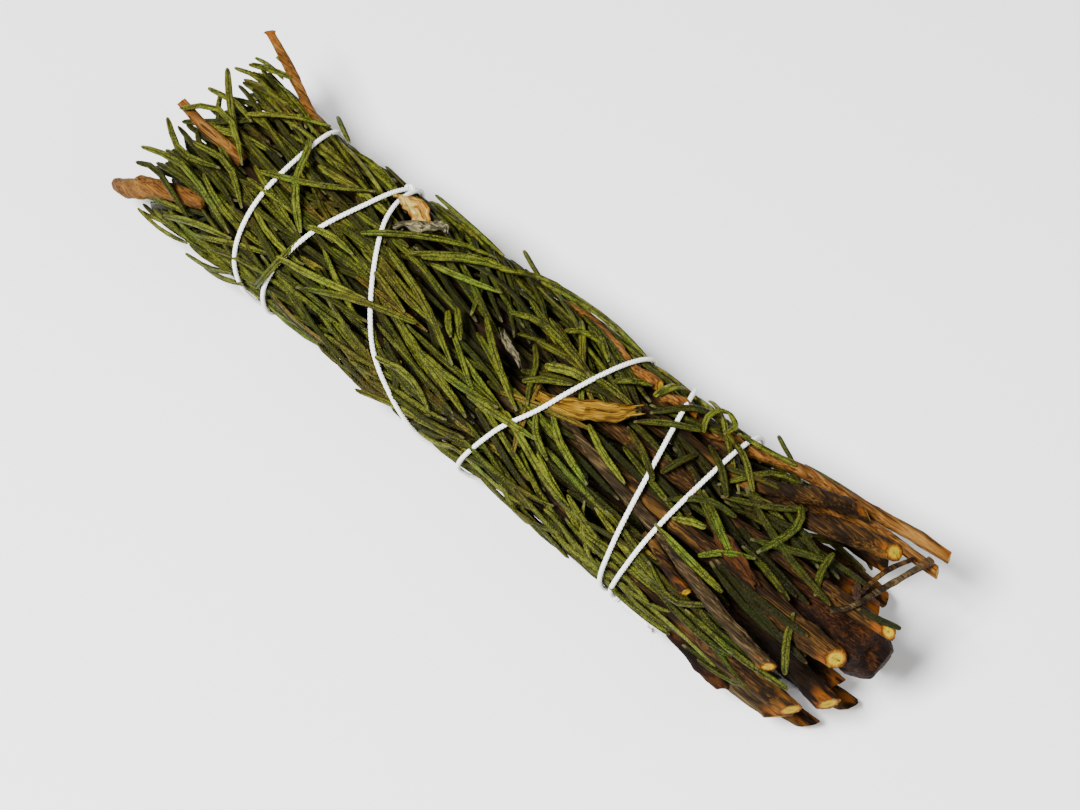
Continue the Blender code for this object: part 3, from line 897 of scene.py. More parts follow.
@dataclass
class LeafHeap:
    """Lays the outer leaves of every sprig, deep ones first, up to the wrapped surface."""

    shape: LeafShape
    pile: Pile
    tries: int = 7600
    tucked: int = 220
    length: float = 0.0240
    half_width: float = 0.00080
    thick: float = 0.00105
    radius: float = 0.0195
    rng: random.Random = field(default_factory=lambda: random.Random(12))
    # where roots stop, and where and over which length they get fewer
    last_root: float = 0.062
    fewer_from: float = 0.040
    fewer_over: float = 0.028
    # where the ragged tips start, and the length over which they come in
    tips_from: float = -0.056
    tips_over: float = 0.012
    # hollows in the heap, whose leaves also get painted shade in their tint, and swellings below zero: x
    # (mm), angle, reach along and across (mm), depth (mm)
    hollows: Rows = (
        (-10, 92, 11, 7, 3.2), (6, 84, 7, 7, 3.2), (31, 84, 7, 7, 2.6), (34, 62, 6, 5, 2.2),
        (46, 88, 9, 6, 2.0),
        (60, 92, 9, 8, 2.2), (46, 128, 9, 6, 1.6), (27, 122, 6, 4, 1.2), (-71, 128, 8, 7, 1.6),
        (-74, 62, 6, 6, 1.2), (-52, 84, 6, 5, 2.0), (-38, 124, 6, 4, 1.4), (2, 150, 9, 5, 1.0),
        (66, 100, 12, 9, 1.4), (12, 24, 14, 5, -1.2), (-27, 28, 6, 4, -0.9), (-78, 24, 9, 6, -2.6),
        (-90, 84, 6, 9, 1.4))
    hollow_radius: float = 19.0
    # places that get more leaves: how many tries, x from and to (mm), angle from and to
    extra: Rows = (
        (420, -78, -62, 12, 62), (160, -20, 30, 10, 50), (120, -60, -30, 170, 215), (170, 46, 67, 56, 128))
    by_sprig: dict[int, list[Leaf]] = field(default_factory=dict)

    def lay_all(self) -> None:
        """Lay leaves at random places until the heap is full, then tuck some between the stems."""
        rng = self.rng
        for k in range(self.tries):
            root = rng.uniform(FORM.tip_x + 0.010, self.last_root)
            if root > self.fewer_from and rng.random() < (root - self.fewer_from) / self.fewer_over:
                continue
            self._lay_one(root, rng.uniform(0.0, math.tau), k / self.tries)
        for count, low_x, high_x, low_deg, high_deg in self.extra:
            for _ in range(count):
                root = rng.uniform(low_x, high_x) * MM
                self._lay_one(root, math.radians(rng.uniform(low_deg, high_deg)), 1.0)
        for _ in range(self.tucked):
            self._tuck_one()

    def keep(self, leaf: Leaf) -> None:
        """Give a leaf to the sprig whose place its middle lies in."""
        middle = leaf.line[len(leaf.line) // 2]
        sprig = FORM.sprig_of(middle[0], FORM.polar(middle)[0])
        self.by_sprig.setdefault(sprig, []).append(leaf)

    def _hollow(self, x: float, turn: float) -> float:
        """How much lower the heap stays at a place, in metres."""
        deep = 0.0
        for hollow_x, deg, along, across, depth in self.hollows:
            off = math.remainder(turn - math.radians(deg), math.tau) * self.hollow_radius / across
            deep += depth * MM * math.exp(-((x / MM - hollow_x) / along) ** 2 - off ** 2)
        return deep

    def _run(self, root: float, turn: float, length: float, yaw: float, bend: float) -> tuple[Array, Array]:
        """Where a leaf's stations lie.

        Args:
            root: place of its root along the bundle.
            turn: angle of its root.
            length: its length, below zero for one that points to the cuts.
            yaw: its heading away from the tips.
            bend: how much the heading turns over its length.

        Returns:
            The places along the bundle and the angles.
        """
        heading = yaw + bend * (self.shape.along[1:] - 0.5)
        steps = np.diff(self.shape.along) * np.array([np.cos(heading), np.sin(heading)])
        ahead, aside = length * np.pad(np.cumsum(steps, axis=1), ((0, 0), (1, 0)))
        return root - ahead, turn - aside / self.radius

    def _lay_one(self, root: float, turn: float, done: float) -> None:
        """Try one leaf with its root at a place on the bundle.

        Args:
            root: place of its root along the bundle.
            turn: angle of its root.
            done: share of the tries that are over.
        """
        rng, u, cos, sin = self.rng, self.shape.along, math.cos(turn), math.sin(turn)
        tip = min(1.0, max(0.0, (self.tips_from - root) / self.tips_over))
        length = self.length * rng.uniform(0.74, 1.10) * (1.0 - 0.16 * tip)
        lean = noise.noise(Vector((48.0 * root, 1.6 * cos + 2.2 * done, 1.6 * sin + 9.0)))
        yaw = math.radians(10.0 + 46.0 * lean - 9.0 * tip + rng.gauss(0.0, 9.0 + 9.0 * tip))
        if rng.random() < 0.09:
            yaw += math.radians(rng.choice((-1, 1)) * rng.uniform(22.0, 50.0))
        if rng.random() < (0.10 if root < 0.03 else 0.35) and not tip:
            length = -length
        x, t = self._run(root, turn, length, yaw, rng.gauss(0.0, 0.26 + 0.34 * tip))
        short = float(np.max(FORM.leafy_end(t) - x))
        if short > 0.0:
            x = x + short + rng.uniform(0.0, 0.0035)
        patch = noise.noise(Vector((65.0 * root, 1.5 * cos, 1.5 * sin)))
        width = self.half_width * rng.uniform(0.84, 1.16)
        thick = self.thick * rng.uniform(0.9, 1.1)
        low = self._hollow(float(x.mean()), float(t.mean()))
        depth = self.pile.lay(x, t, width, thick, 0.22, 0.0005 + 0.0007 * patch + 0.0006 * tip + low)
        if depth is None:
            return
        depth = depth + (1.0 - u) ** 3 * 0.0016
        if tip:
            depth = depth - tip * u ** 2 * rng.uniform(-0.0012, 0.0020)
        elif rng.random() < 0.06 and sin > -0.3:
            depth = depth - rng.uniform(0.0006, 0.0022) * u ** 2
        # painted shade: leaves that lie deep in the heap, or in a hollow, get a darker tint
        lit = min(1.0, max(0.16, 1.22 - 215.0 * float(depth.mean())))
        tint = rng.betavariate(1.9, 1.3) * lit * (1.0 + 0.55 * patch) - 80.0 * max(low, 0.0)
        tint = min(0.87, max(0.02, tint))
        if rng.random() < 0.05:
            tint = rng.uniform(0.91, 0.99)
        self.keep(Leaf(FORM.spot(x, t, depth), width, 0.5 * thick, tint, rng.gauss(0.0, 0.34)))

    def _tuck_one(self) -> None:
        """Lay a leaf in the valley between two neighbouring stems."""
        rng = self.rng
        back = rng.choice((-1.0, 1.0))
        root = rng.uniform(0.052, 0.070) if back < 0 else rng.uniform(0.062, 0.086)
        turn = FORM.sprig_turn(rng.randrange(FORM.sprigs), root) + math.pi / FORM.sprigs
        yaw = math.radians(6.0 + rng.gauss(0.0, 7.0))
        turn += rng.gauss(0.0, 0.05)
        x, t = self._run(root, turn, back * self.length * rng.uniform(0.55, 0.95), yaw, rng.gauss(0.0, 0.45))
        if x.max() > 0.084:
            return
        depth = self.pile.lay(x, t, self.half_width, self.thick, 0.45, 0.0012)
        if depth is not None:
            tint = rng.uniform(0.03, 0.44)
            self.keep(Leaf(FORM.spot(x, t, depth), self.half_width, 0.5 * self.thick, tint,
                           rng.gauss(0.0, 0.4)))


@dataclass(frozen=True)
class PlacedLeaf:
    """One listed leaf, root first: stations as (x mm, angle, height mm)."""

    stations: Rows
    tint: float
    wide: float = 1.0


def placed(*rows: tuple) -> tuple[PlacedLeaf, ...]:
    """Leaves from rows of stations, tint and width."""
    return tuple(PlacedLeaf(*row) for row in rows)


@dataclass(frozen=True)
class PlacedLeaves:
    """Leaves that cross the string, stick out or curl, each laid where it is seen."""

    over_string: tuple[PlacedLeaf, ...] = placed(
        (((-41.5, 66, 0.3), (-51.5, 90, 1), (-62.5, 105, 1.2)), 0.62),
        (((-52.5, 105, 0), (-55, 95, 0.7), (-57, 82, 1.2), (-58.5, 73, 1.5), (-60.5, 66, 1.2)), 0.70, 1.1),
        (((-46, 124, 0), (-47.5, 147, 1.3), (-50.5, 168, 0.8)), 0.55),
        (((-13, 50, 0.4), (-20, 61, 0.9), (-27, 76, 1.2), (-32.5, 89, 1.5), (-36, 97, 1.2)), 0.58, 1.1),
        (((-8, 52, 0.5), (-14, 60, 1), (-20, 75, 1), (-25.5, 88, 0.6)), 0.66),
        (((-46.5, 119, 0), (-51.5, 106, 0.8), (-55.5, 93, 0.5)), 0.78, 1.25),
        (((21.5, 81, -0.8), (17, 86, 0.7), (12.5, 93, 0.9)), 0.86, 1.5))
    on_top: tuple[PlacedLeaf, ...] = placed(
        (((-34, 110, 0.8), (-40, 109, 1.1), (-46, 113, 0.5)), 0.84),
        (((-41, 147, 0.3), (-27.5, 129, 1), (-14, 119, 0.3)), 0.60),
        (((-26, 126, 0.2), (-37, 133, 0.9), (-48, 139, 0.6)), 0.84, 1.1),
        (((48, 58, 0.6), (48.5, 50, 1.6), (45.5, 46, 2.3)), 0.70, 0.85),
        (((46, 46, 2.2), (44.5, 48, 2.3), (43.5, 53, 2.1), (43.5, 59, 1.2), (45, 65, 0.3)), 0.74, 0.85),
        (((47.5, 54, 0.4), (54.5, 64, 1), (60.5, 77, 0.3)), 0.62),
        (((49.5, 50, 0.6), (56.5, 48, 1), (62, 38, 0.4)), 0.66))
    sticking_out: tuple[PlacedLeaf, ...] = placed(
        (((-56.5, 38, 0), (-61, 30, 1), (-65, 23, 2.3)), 0.60, 0.9),
        (((-3.5, 36, 0), (-8, 30, 1), (-12.5, 24, 2.4)), 0.55, 0.9),
        (((60.5, 33, 0), (57, 28, 1), (54, 24, 2.2)), 0.40, 0.8),
        (((62, 26, 0.6), (71.5, 25, 1.4), (81, 24, 1.7)), 0.38, 1.1),
        (((-58.5, 178, 0), (-65.5, 192, 0.8), (-73.5, 200, 1.5)), 0.62, 1.1),
        (((-55, 180, 0), (-61.5, 191, 0.8), (-68, 200, 1.2)), 0.55, 1.1),
        (((90.5, 95, 0.3), (95, 93, 0.9), (99, 90, 0.9)), 0.10, 0.85))
    at_tips: tuple[PlacedLeaf, ...] = placed(
        (((-60.5, 147, 0.2), (-67, 138, 0.8), (-75, 130, 1.5), (-82, 131, 2), (-87.5, 136, 1.9)), 0.62),
        (((-60.5, 129, 0.3), (-68.5, 113, 1.3), (-78, 115, 1.6)), 0.58),
        (((-71, 98, 0.2), (-78.5, 81, 1.5), (-85.5, 64, 2.8)), 0.64, 1.1),
        (((-77.5, 25, 3.5), (-83, 26, 2.5), (-87, 34, 1)), 0.70, 1.2),
        (((-77, 26, 3.3), (-82, 31, 2.2), (-86.5, 39, 1)), 0.60, 1.1),
        (((-80.5, 24, 1.9), (-85, 24, 2.6), (-89, 24, 2.1)), 0.78, 1.1),
        (((-80, 26, 4), (-82.5, 25, 4.8), (-85, 24, 5)), 0.70, 0.6),
        (((-62, 40, 0.7), (-68, 60, 1.2), (-74.5, 79, 0.9)), 0.90),
        (((-59.5, 149, 0.3), (-69, 155, 1.4), (-77.5, 168, 1.2)), 0.74, 1.1),
        (((-66.5, 108, 0.3), (-70.5, 98, 1.6), (-76, 90, 2.6), (-81, 93, 2.7), (-85.5, 104, 1.9)), 0.70, 0.9),
        (((-72.5, 80, 0.3), (-78, 77, 1), (-85, 81, 1.3)), 0.70, 0.9),
        (((-72.5, 187, 0.1), (-78, 193, 0.7), (-83, 197, 0.9), (-87.5, 190, 0.8)), 0.66),
        (((-70.5, 160, 0.2), (-77, 148, 0.9), (-82.5, 142, 1.4), (-87.5, 147, 1.3)), 0.30),
        (((-69, 48, 0.3), (-76, 52, 1), (-81, 49, 1.5), (-86, 55, 1.3)), 0.62),
        (((-70, 118, 0.2), (-79, 124, 1.3), (-86.5, 113, 1.6)), 0.55))
    in_middle: tuple[PlacedLeaf, ...] = placed(
        (((-13, 41, 0.2), (-24, 35, 0.6), (-35, 29, 1.1)), 0.66, 1.1),
        (((-6, 45, 0.2), (-14.5, 65, 1), (-23, 85, 0.6)), 0.60, 1.1),
        (((8, 29, 0.2), (0.5, 31, 0.9), (-4, 40, 1), (-10, 58, 0.7)), 0.72),
        (((24, 38, 0.3), (12, 28, 1.1), (-0.5, 27, 0.9)), 0.70, 1.1),
        (((19, 30, 0.2), (7.5, 32, 0.9), (-3, 42, 0.6)), 0.62),
        (((-5.5, 70, 0), (-13, 78, 0.2), (-20.5, 84, 0.2)), 0.80),
        (((20.5, 79, -0.6), (12, 73, 0), (4, 71, 0.1), (-1.5, 77, -0.4)), 0.60, 1.15),
        (((33.5, 79, -0.4), (25.5, 78, 0.2), (18, 77, -1.2)), 0.58),
        (((14, 123, 0.2), (4.5, 108, 0.6), (-4, 90, -0.4)), 0.66),
        (((-2.5, 125, 0.3), (-16, 106, 0.9), (-30, 93, 0.2)), 0.64, 1.1),
        (((-17.5, 118, 0.3), (-22.5, 114, 0.9), (-28, 110, 0.7)), 0.78),
        (((15, 117, 0), (12.5, 107, -0.2), (10.5, 94, -0.8), (7, 83, -1.2)), 0.50, 0.85),
        (((-4.5, 111, 0), (-7, 104, 0.1), (-10, 96, -0.6)), 0.56),
        (((-6.5, 113, 0.1), (-9, 107, 0.1), (-11, 101, -0.6)), 0.60),
        (((17, 54, -0.2), (12.5, 57, 0.3), (9.5, 65, 0.1)), 0.60),
        (((20.5, 62, -0.6), (18, 57, 0), (15, 50, 0.1)), 0.60),
        (((10.5, 128, 0.2), (0, 131, 0.9), (-10.5, 130, 0.3)), 0.60, 1.1),
        (((20.5, 129, 0), (11, 131, 0.5), (3.5, 133, 0.3)), 0.70, 1.1),
        (((25, 134, 0.1), (20, 126, 0.5), (17.5, 118, 0)), 0.62),
        (((34.5, 131, 0.2), (25.5, 122, 0.8), (20.5, 113, 0.3)), 0.70, 1.1),
        (((40.5, 118, 0), (33, 112, 0.5), (27, 104, -0.4)), 0.74),
        (((-2.5, 156, 0.2), (-6, 148, 0.7), (-11, 145, 0.8), (-18, 150, 0.4)), 0.72, 1.1),
        (((19, 91, -0.2), (14, 100, 0.4), (11, 108, 0.2)), 0.56),
        (((30.5, 58, 0), (27.5, 65, 0.4), (24.5, 73, 0)), 0.52),
        (((35, 42, 0.4), (33.5, 52, 0.9), (32.5, 65, 0.3)), 0.84, 1.2))
    among_stems: tuple[PlacedLeaf, ...] = placed(
        (((58, 82, -0.6), (61.5, 78, 0), (65.5, 77, 0.3), (69.5, 68, 0.9)), 0.40),
        (((69, 104, 0.2), (70.5, 93, 0.5), (71.5, 82, 0.8), (71, 74, 1), (69, 67, 1)), 0.50, 1.15),
        (((59, 78, 0), (72.5, 94, 0.4), (86, 102, -0.4)), 0.28, 1.1),
        (((82.5, 103, -1.2), (80.5, 90, 0), (80, 78, 0.6)), 0.42),
        (((81.5, 117, -0.2), (84, 131, 0.5), (87, 145, 0.1)), 0.55, 1.1),
        (((69.5, 107, 0.1), (64.5, 114, 0.8), (60.5, 124, 0.3)), 0.62, 0.95),
        (((64, 152, 0), (76.5, 153, 0.5), (89, 151, -0.2)), 0.50),
        (((53, 143, 0.1), (60.5, 151, 0.9), (67.5, 141, 0.4)), 0.46),
        (((47.5, 181, 0.1), (55.5, 179, 0.5), (63, 178, 0.2)), 0.52),
        (((50, 125, 0.1), (59.5, 128, 0.7), (68.5, 131, 0.2)), 0.66, 1.1),
        (((53, 94, -0.2), (59.5, 104, 0.5), (66, 114, 0.2)), 0.60),
        (((33, 84, -1.5), (38.5, 75, 0.4), (44.5, 64, 0.2)), 0.40, 1.1),
        (((34, 72, -1.5), (39, 58, 0.7), (43, 48, 0.4)), 0.26, 1.2),
        (((48, 112, -1.5), (55, 98, 0.6), (61.5, 95, 0.1)), 0.34),
        (((50, 90, -1.5), (56.5, 103, 0.5), (63, 111, 0.2)), 0.40, 0.8),
        (((47, 64, -1.8), (52.5, 77, 0.5), (57.5, 89, 0.2)), 0.30),
        (((54, 84, -1.5), (60, 62, 0.8), (65.5, 52, 0.6)), 0.50),
        (((47, 76, -1.2), (46, 88, 0.5), (44.5, 101, 0)), 0.26),
        (((33, 90, -1), (39, 98, 0.6), (44.5, 107, 0.2)), 0.36),
        (((56, 88, -2), (65, 79, 0.7), (70.5, 66, 0.6)), 0.30, 1.1),
        (((66, 99, -1.5), (74, 91, 0.5), (80, 84, 0.2)), 0.34, 1.1),
        (((51, 72, -2), (59, 69, 0.5), (65.5, 62, 0.1)), 0.28),
        (((52, 117, 0), (56, 112, 0.9), (58.5, 110, 0.6)), 0.84))

    def lay(self, heap: LeafHeap) -> None:
        """Add every placed leaf to the sprig that it belongs to.

        Args:
            heap: the leaves by sprig.
        """
        at = np.round(heap.shape.along * 100).astype(int)
        for leaf in (*self.over_string, *self.on_top, *self.sticking_out, *self.at_tips, *self.in_middle,
                     *self.among_stems):
            line = smooth_line(FORM.spots(leaf.stations, -1.0), 101)[at]
            heap.keep(Leaf(line, heap.half_width * leaf.wide, 0.5 * heap.thick, leaf.tint - 0.02))


@dataclass
class InnerLeaves:
    """Leaves of the inner sprigs, which fill the bundle behind the outer ones; away from the tips their very
    dark tint is painted shade.
    """

    shape: LeafShape
    angles: tuple[float, ...] = (50, 110, 170, 230, 290, 350, 0)
    middle: int = 6
    per_sprig: int = 240
    at_tips: int = 44
    rng: random.Random = field(default_factory=lambda: random.Random(5))

    def _leaf(self, k: int, at_tip: bool) -> Leaf:
        """Bend one leaf out from the middle of its sprig.

        Args:
            k: number of the sprig.
            at_tip: whether it lies at the bundle's leafy end.

        Returns:
            The leaf.
        """
        rng, along = self.rng, self.shape.along
        length = rng.uniform(0.016, 0.024)
        root = FORM.tip_x + rng.uniform(0.016, 0.040) if at_tip else rng.uniform(-0.060, 0.058)
        t0 = math.radians(self.angles[k]) + rng.uniform(-0.5, 0.5) * (6.0 if k == self.middle else 1.0)
        t1 = t0 + rng.gauss(0.0, 0.28 if at_tip else 0.6)
        if at_tip:
            length = min(length, root - float(FORM.leafy_end(np.array([t1]))[0]) - rng.uniform(0.0, 0.006))
        elif root > 0.040 and rng.random() < 0.6:
            length = -length
        r0 = rng.uniform(0.0, 0.003) if k == self.middle else rng.uniform(0.004, 0.009)
        r1 = r0 + rng.uniform(0.000, 0.0058 if at_tip else 0.0030)
        r, t = r0 + (r1 - r0) * along ** 1.4, t0 + (t1 - t0) * along
        y, z = FORM.axis_y + r * np.cos(t), FORM.axis_z + r * np.sin(t)
        line = np.stack([root - length * along, y, z], axis=1)
        # painted shade: inner leaves away from the tips get a very dark tint
        tint = rng.betavariate(2, 3) * (0.9 if at_tip else 0.16)
        return Leaf(line, 0.0008 * rng.uniform(0.85, 1.1), 0.0005, tint, rng.gauss(0.0, 0.7))

    def build(self, material: Material) -> None:
        """Make the leafy piece of every inner sprig.

        Args:
            material: the leaf material.
        """
        for k in range(len(self.angles)):
            leaves = [self._leaf(k, j < self.at_tips) for j in range(self.per_sprig)]
            self.shape.show_copies(inner_name(k, "leaves"), leaves, material)


def inner_name(k: int, part: str) -> str:
    """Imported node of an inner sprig's leaves or stem; the last one is the middle sprig."""
    return f"middle_sprig_{part}" if k == 6 else f"inner_sprig_{k + 1}_{part}"


# ------------------------------------------------------------- stems and wood


@dataclass
class WoodRun:
    """One length of bare wood: its middle line and radii, its bark and its cut."""

    name: str
    rows: Array
    bark: Bark
    nodes: tuple[str, ...]
    slant: float = 0.5
    knuckles: tuple[float, ...] = ()
    # how far back from its end a rounded piece starts to narrow, in radii; none for a cut one
    rounded: float = 0.0
    seed: int = 1
    sides: int = 22
    lumps: float = 0.13
    aged: bool = False
    # how far its slanting cut is turned from the outside of the bundle
    facing: float = 0.0
    knuckle_width: float = 0.0011
    # lengths before the cut over which it slants and the bark glows
    slant_length: float = 0.004
    glow_length: float = 0.0055
    # depth in the bundle where painted shade starts to darken the bark, and over which depth it reaches full
    # strength
    shade_from: float = 0.0025
    shade_over: float = 0.0045
    run: Array = field(init=False)
    axes: tuple[Array, Array, Array] = field(init=False)

    def __post_init__(self) -> None:
        """Work out the distance run and the directions along the line."""
        self.run, self.axes = run_length(self.line), frames(self.line)

    @property
    def line(self) -> Array:
        """The middle line."""
        return self.rows[:, :3]

    @property
    def radii(self) -> Array:
        """The radius at each point of the line."""
        return self.rows[:, 3]

    def build(self, barks: dict[Bark, Material], cut: Material) -> None:
        """Draw the wood ring by ring, roughen its bark and inset its cut.

        Args:
            barks: the bark materials.
            cut: the cut-wood material.
        """
        bm = bmesh.new()
        ring = start_ring(bm, self.sides)
        near_cut: dict[bmesh.types.BMVert, float] = {}
        for i, back in enumerate(self.run[-1] - self.run):
            if i:
                ring = extend_ring(bm, ring)
            self._shape_ring(ring, i, back)
            near = 0.0 if self.rounded else max(0.0, 1.0 - back / self.glow_length)
            near_cut.update(dict.fromkeys(ring, near))
        cap = close_ring(bm, ring)
        if not self.rounded:
            self._carve_cut(bm, cap, near_cut)
        bmesh.ops.recalc_face_normals(bm, faces=bm.faces)
        near = np.array([near_cut[vert] for vert in bm.verts])
        points = np.array([vert.co[:] for vert in bm.verts])
        mesh = keep_mesh(bm, self.name)
        aside, ahead = points - self.line[-1], self.axes[0][-1]
        aside -= (aside @ ahead)[:, None] * ahead
        out = np.minimum(1.0, np.linalg.norm(aside, axis=1) / self.radii[-1])
        turn, r = FORM.polar(points)
        deep = FORM.skin(points[:, 0], turn) - r
        # painted shade: the deeper a point lies below the wrapped surface, the darker its bark
        depth_shade = np.clip((deep - self.shade_from) / self.shade_over, 0.0, 1.0)
        paint(mesh, "cut", out, near, depth_shade * (self.bark is not Bark.STUMP), np.ones(len(points)))
        show(self.name, mesh, [barks[self.bark], cut], "stem_bark", *self.nodes)

    def _shape_ring(self, ring: Ring, i: int, back: float) -> None:
        """Set one ring: ridged bark, knuckles where leaves grew, and the slant of the cut.

        Args:
            ring: the ring's points.
            i: its number.
            back: how far before the wood's end it lies.
        """
        p, r, run = self.line[i], self.radii[i], self.run[i]
        ahead, side, up = (axis[i] for axis in self.axes)
        swell = sum(math.exp(-((run - knuckle) / self.knuckle_width) ** 2) for knuckle in self.knuckles)
        for k, vert in enumerate(ring):
            a = math.tau * k / self.sides
            probe = Vector((run * 190.0, math.cos(a) * 1.7, math.sin(a) * 1.7 + 7.0 * self.seed))
            ridge = noise.noise(probe) + 0.6 * noise.noise(probe * 2.7) - 0.5 * abs(noise.noise(probe * 4.1))
            rr = r * (1.0 + self.lumps * ridge + 0.24 * swell * (0.5 + 0.5 * math.cos(2 * a + self.seed)))
            q = side * (rr * math.cos(a)) + up * (rr * math.sin(a))
            if back < self.rounded * r:
                q = q * math.sqrt(max(0.02, 1.0 - (1.0 - back / (self.rounded * r)) ** 2))
            lean = self.slant * rr * math.sin(a + self.facing) * max(0.0, 1.0 - back / self.slant_length)
            q = p + q - ahead * lean
            vert.co = Vector((min(q[0], FORM.cut_x + 0.0013), q[1], max(q[2], TABLE_GAP)))

    def _carve_cut(self, bm: BMesh, cap: bmesh.types.BMFace, near_cut: dict) -> None:
        """Inset the cut into rings of wood and leave them a little rough.

        Args:
            bm: the wood.
            cap: its last face.
            near_cut: how near the cut each point lies, which gets the new points.
        """
        sawn = [cap]
        for share in (0.07, 0.16, 0.26, 0.26):
            ring = bmesh.ops.inset_region(bm, faces=[cap], thickness=self.radii[-1] * share,
                                          use_even_offset=False)
            sawn.extend(ring["faces"])
        sawn.extend(bmesh.ops.poke(bm, faces=[cap])["faces"])
        sawn = [face for face in sawn if face.is_valid]
        for face in sawn:
            face.material_index = 1
        for vert in {v for face in sawn for v in face.verts}:
            near_cut[vert] = 1.0
            if all(face.material_index == 1 for face in vert.link_faces):
                vert.co.x += 0.00022 * noise.noise(vert.co * 2400.0)


@dataclass(frozen=True)
class Stems:
    """The woody stems of all the sprigs, from the leafy end to the cuts."""

    # outer sprigs in order: where the leaves stop, where the stem is cut, its radius (mm)
    leaf_end: tuple[float, ...] = (58, 60, 56, 62, 54, 44, 50, 60, 54, 62, 57, 52, 60, 55)
    cut_end: tuple[float, ...] = (95.5, 88.5, 80.5, 96.4, 92.6, 83.5, 90.5, 88.0, 92.0, 95.0, 88.0,
                                  89.5, 88.0, 85.0)
    cut_radius: tuple[float, ...] = (1.7, 2.3, 1.9, 1.7, 2.5, 2.0, 2.4, 2.1, 2.0, 2.3, 2.1, 2.2, 1.9, 2.2)
    # how much deeper than the surface some stems lie at their cuts: sprig from 0, then mm
    cut_sink: tuple[tuple[int, float], ...] = ((0, -2.2), (1, 0.5), (3, 1.6))
    # inner sprigs: angle, distance from the axis at the cuts, cut end, radius (degrees, mm)
    inner: Rows = (
        (50, 9.6, 86.0, 2.2), (106, 10.5, 98.8, 4.2), (172, 13.4, 95.0, 2.2),
        (230, 9.4, 92.0, 2.3), (290, 9.2, 95.0, 2.2), (350, 9.4, 90.0, 2.2), (0, 0.0, 95.5, 2.3))
    inner_ring: float = 0.0060
    # where the inner stems start to spread to their cuts
    inner_spread: float = 0.052
    # which inner stem is the thick dark stump, and how much it flares from where over which length
    stump: int = 1
    stump_flare: float = 0.0023
    flare_from: float = 0.080
    flare_over: float = 0.013
    # outer stems with another bark than brown
    tones: tuple[tuple[int, Bark], ...] = ((0, Bark.ORANGE), (5, Bark.GREY), (7, Bark.GREY), (10, Bark.GREY))
    # outer stems that come up to the surface early: sprig from 0, then x (mm), angle, depth and radius (mm)
    exposed: tuple[tuple[int, Rows], ...] = (
        (0, ((44, 50, 2.9, 1.1), (48, 47, 1.8, 1.15), (52.5, 45, 2.0, 1.2), (57, 41, 1.0, 1.25),
             (62, 35, 0.4, 1.3), (70, 29, -0.1, 1.35), (75.4, 26, -0.5, 1.4), (83.3, 24, -1.5, 1.4),
             (88.3, 24, -2.1, 1.4), (95.4, 24, -2.4, 1.5))),
        (1, ((58, 60, 6.0, 1.6), (66, 64, 3.6, 1.8), (74, 62, 1.7, 1.95), (80.9, 54.5, 1.1, 2.0),
             (87.6, 46.5, 0.9, 2.0))),
        (3, ((60, 92, 6.0, 1.5), (74, 93, 3.8, 1.6), (86, 94, 2.4, 1.6), (97.3, 93.5, 1.0, 1.6))),
        (2, ((56, 68, 3.0, 1.6), (61, 65, 1.4, 1.6), (66, 60, 0.2, 1.65), (72, 51, -0.9, 1.7),
             (79.0, 41, -1.1, 1.6))),
        (5, ((22, 112, 3.0, 1.0), (28, 115, 1.9, 1.1), (36, 120, 2.0, 1.2), (44, 125, 2.05, 1.2),
             (51, 129, 2.05, 1.2), (57, 132, 0.7, 1.25), (64, 137, 0.1, 1.3), (74, 143, -0.1, 1.35),
             (83.5, 147.5, 0.1, 1.5))))

    def outer_rows(self, i: int) -> Array:
        """Middle line and radii of an outer stem, from the tips to its cut.

        Args:
            i: the sprig's number.

        Returns:
            Rows of a point and a radius.
        """
        early = dict(self.exposed).get(i)
        leaf_end, stop, radius = self.leaf_end[i] * MM, self.cut_end[i] * MM, self.cut_radius[i] * MM
        rows = []
        for x in np.linspace(FORM.tip_x + 0.021, leaf_end - 0.002, 10):
            if early and x > early[0][0] * MM - 0.010:
                break
            turn = FORM.sprig_turn(i, x)
            size = 0.0013 + 0.0007 * (x - FORM.tip_x) / (leaf_end - FORM.tip_x)
            rows.append((*FORM.spot(x, turn, FORM.stem_depth(x, turn)), size))
        if early:
            rows.extend(np.column_stack([FORM.spots(early), np.array(early)[:, 3] * MM]))
        for t in () if early else (0.2, 0.4, 0.6, 0.8, 1.0):
            x = leaf_end + 0.003 + (stop - leaf_end - 0.003) * t
            turn = FORM.sprig_turn(i, x) + math.radians(2.2) * math.sin(5.0 * t + i) * t
            high = radius + (0.0004 if math.sin(turn) > -0.9 else -0.0001)
            high += dict(self.cut_sink).get(i, 0.0) * MM * t
            rise = min(1.0, 1.7 * t)
            rows.append((*FORM.spot(x, turn, FORM.stem_depth(x, turn) * (1 - rise) + high * rise),
                         0.0020 + (radius - 0.0020) * min(1.0, 2.5 * t)))
        rows = smooth_line(np.array(rows), 150)
        left = (rows[-1, 0] - rows[:, 0]) / 0.006
        rows[:, 3] *= 1.0 - 0.15 * np.clip(1.0 - left, 0.0, 1.0)
        return rows

    def inner_rows(self, k: int) -> Array:
        """Middle line and radii of an inner stem.

        Args:
            k: the inner sprig's number.

        Returns:
            Rows of a point and a radius.
        """
        deg, far, stop, size = self.inner[k]
        turn, ring, rows = math.radians(deg), self.inner_ring if far else 0.0, []
        for x in (FORM.tip_x + 0.016, -0.04, 0.0, self.inner_spread, 0.066, 0.080, stop * MM):
            t = min(1.0, max(0.0, (x - self.inner_spread) / (stop * MM - self.inner_spread)))
            r = ring + (far * MM - ring) * t
            rows.append((x, FORM.axis_y + r * math.cos(turn), FORM.axis_z + r * math.sin(turn),
                         0.0018 + (size * MM - 0.0018) * t))
        if k != self.stump:
            return smooth_line(np.array(rows), 120)
        rows = smooth_line(np.array(rows), 360)
        flare = np.clip((rows[:, 0] - self.flare_from) / self.flare_over, 0.0, 1.0)
        rows[:, 3] += self.stump_flare * flare ** 2
        return rows

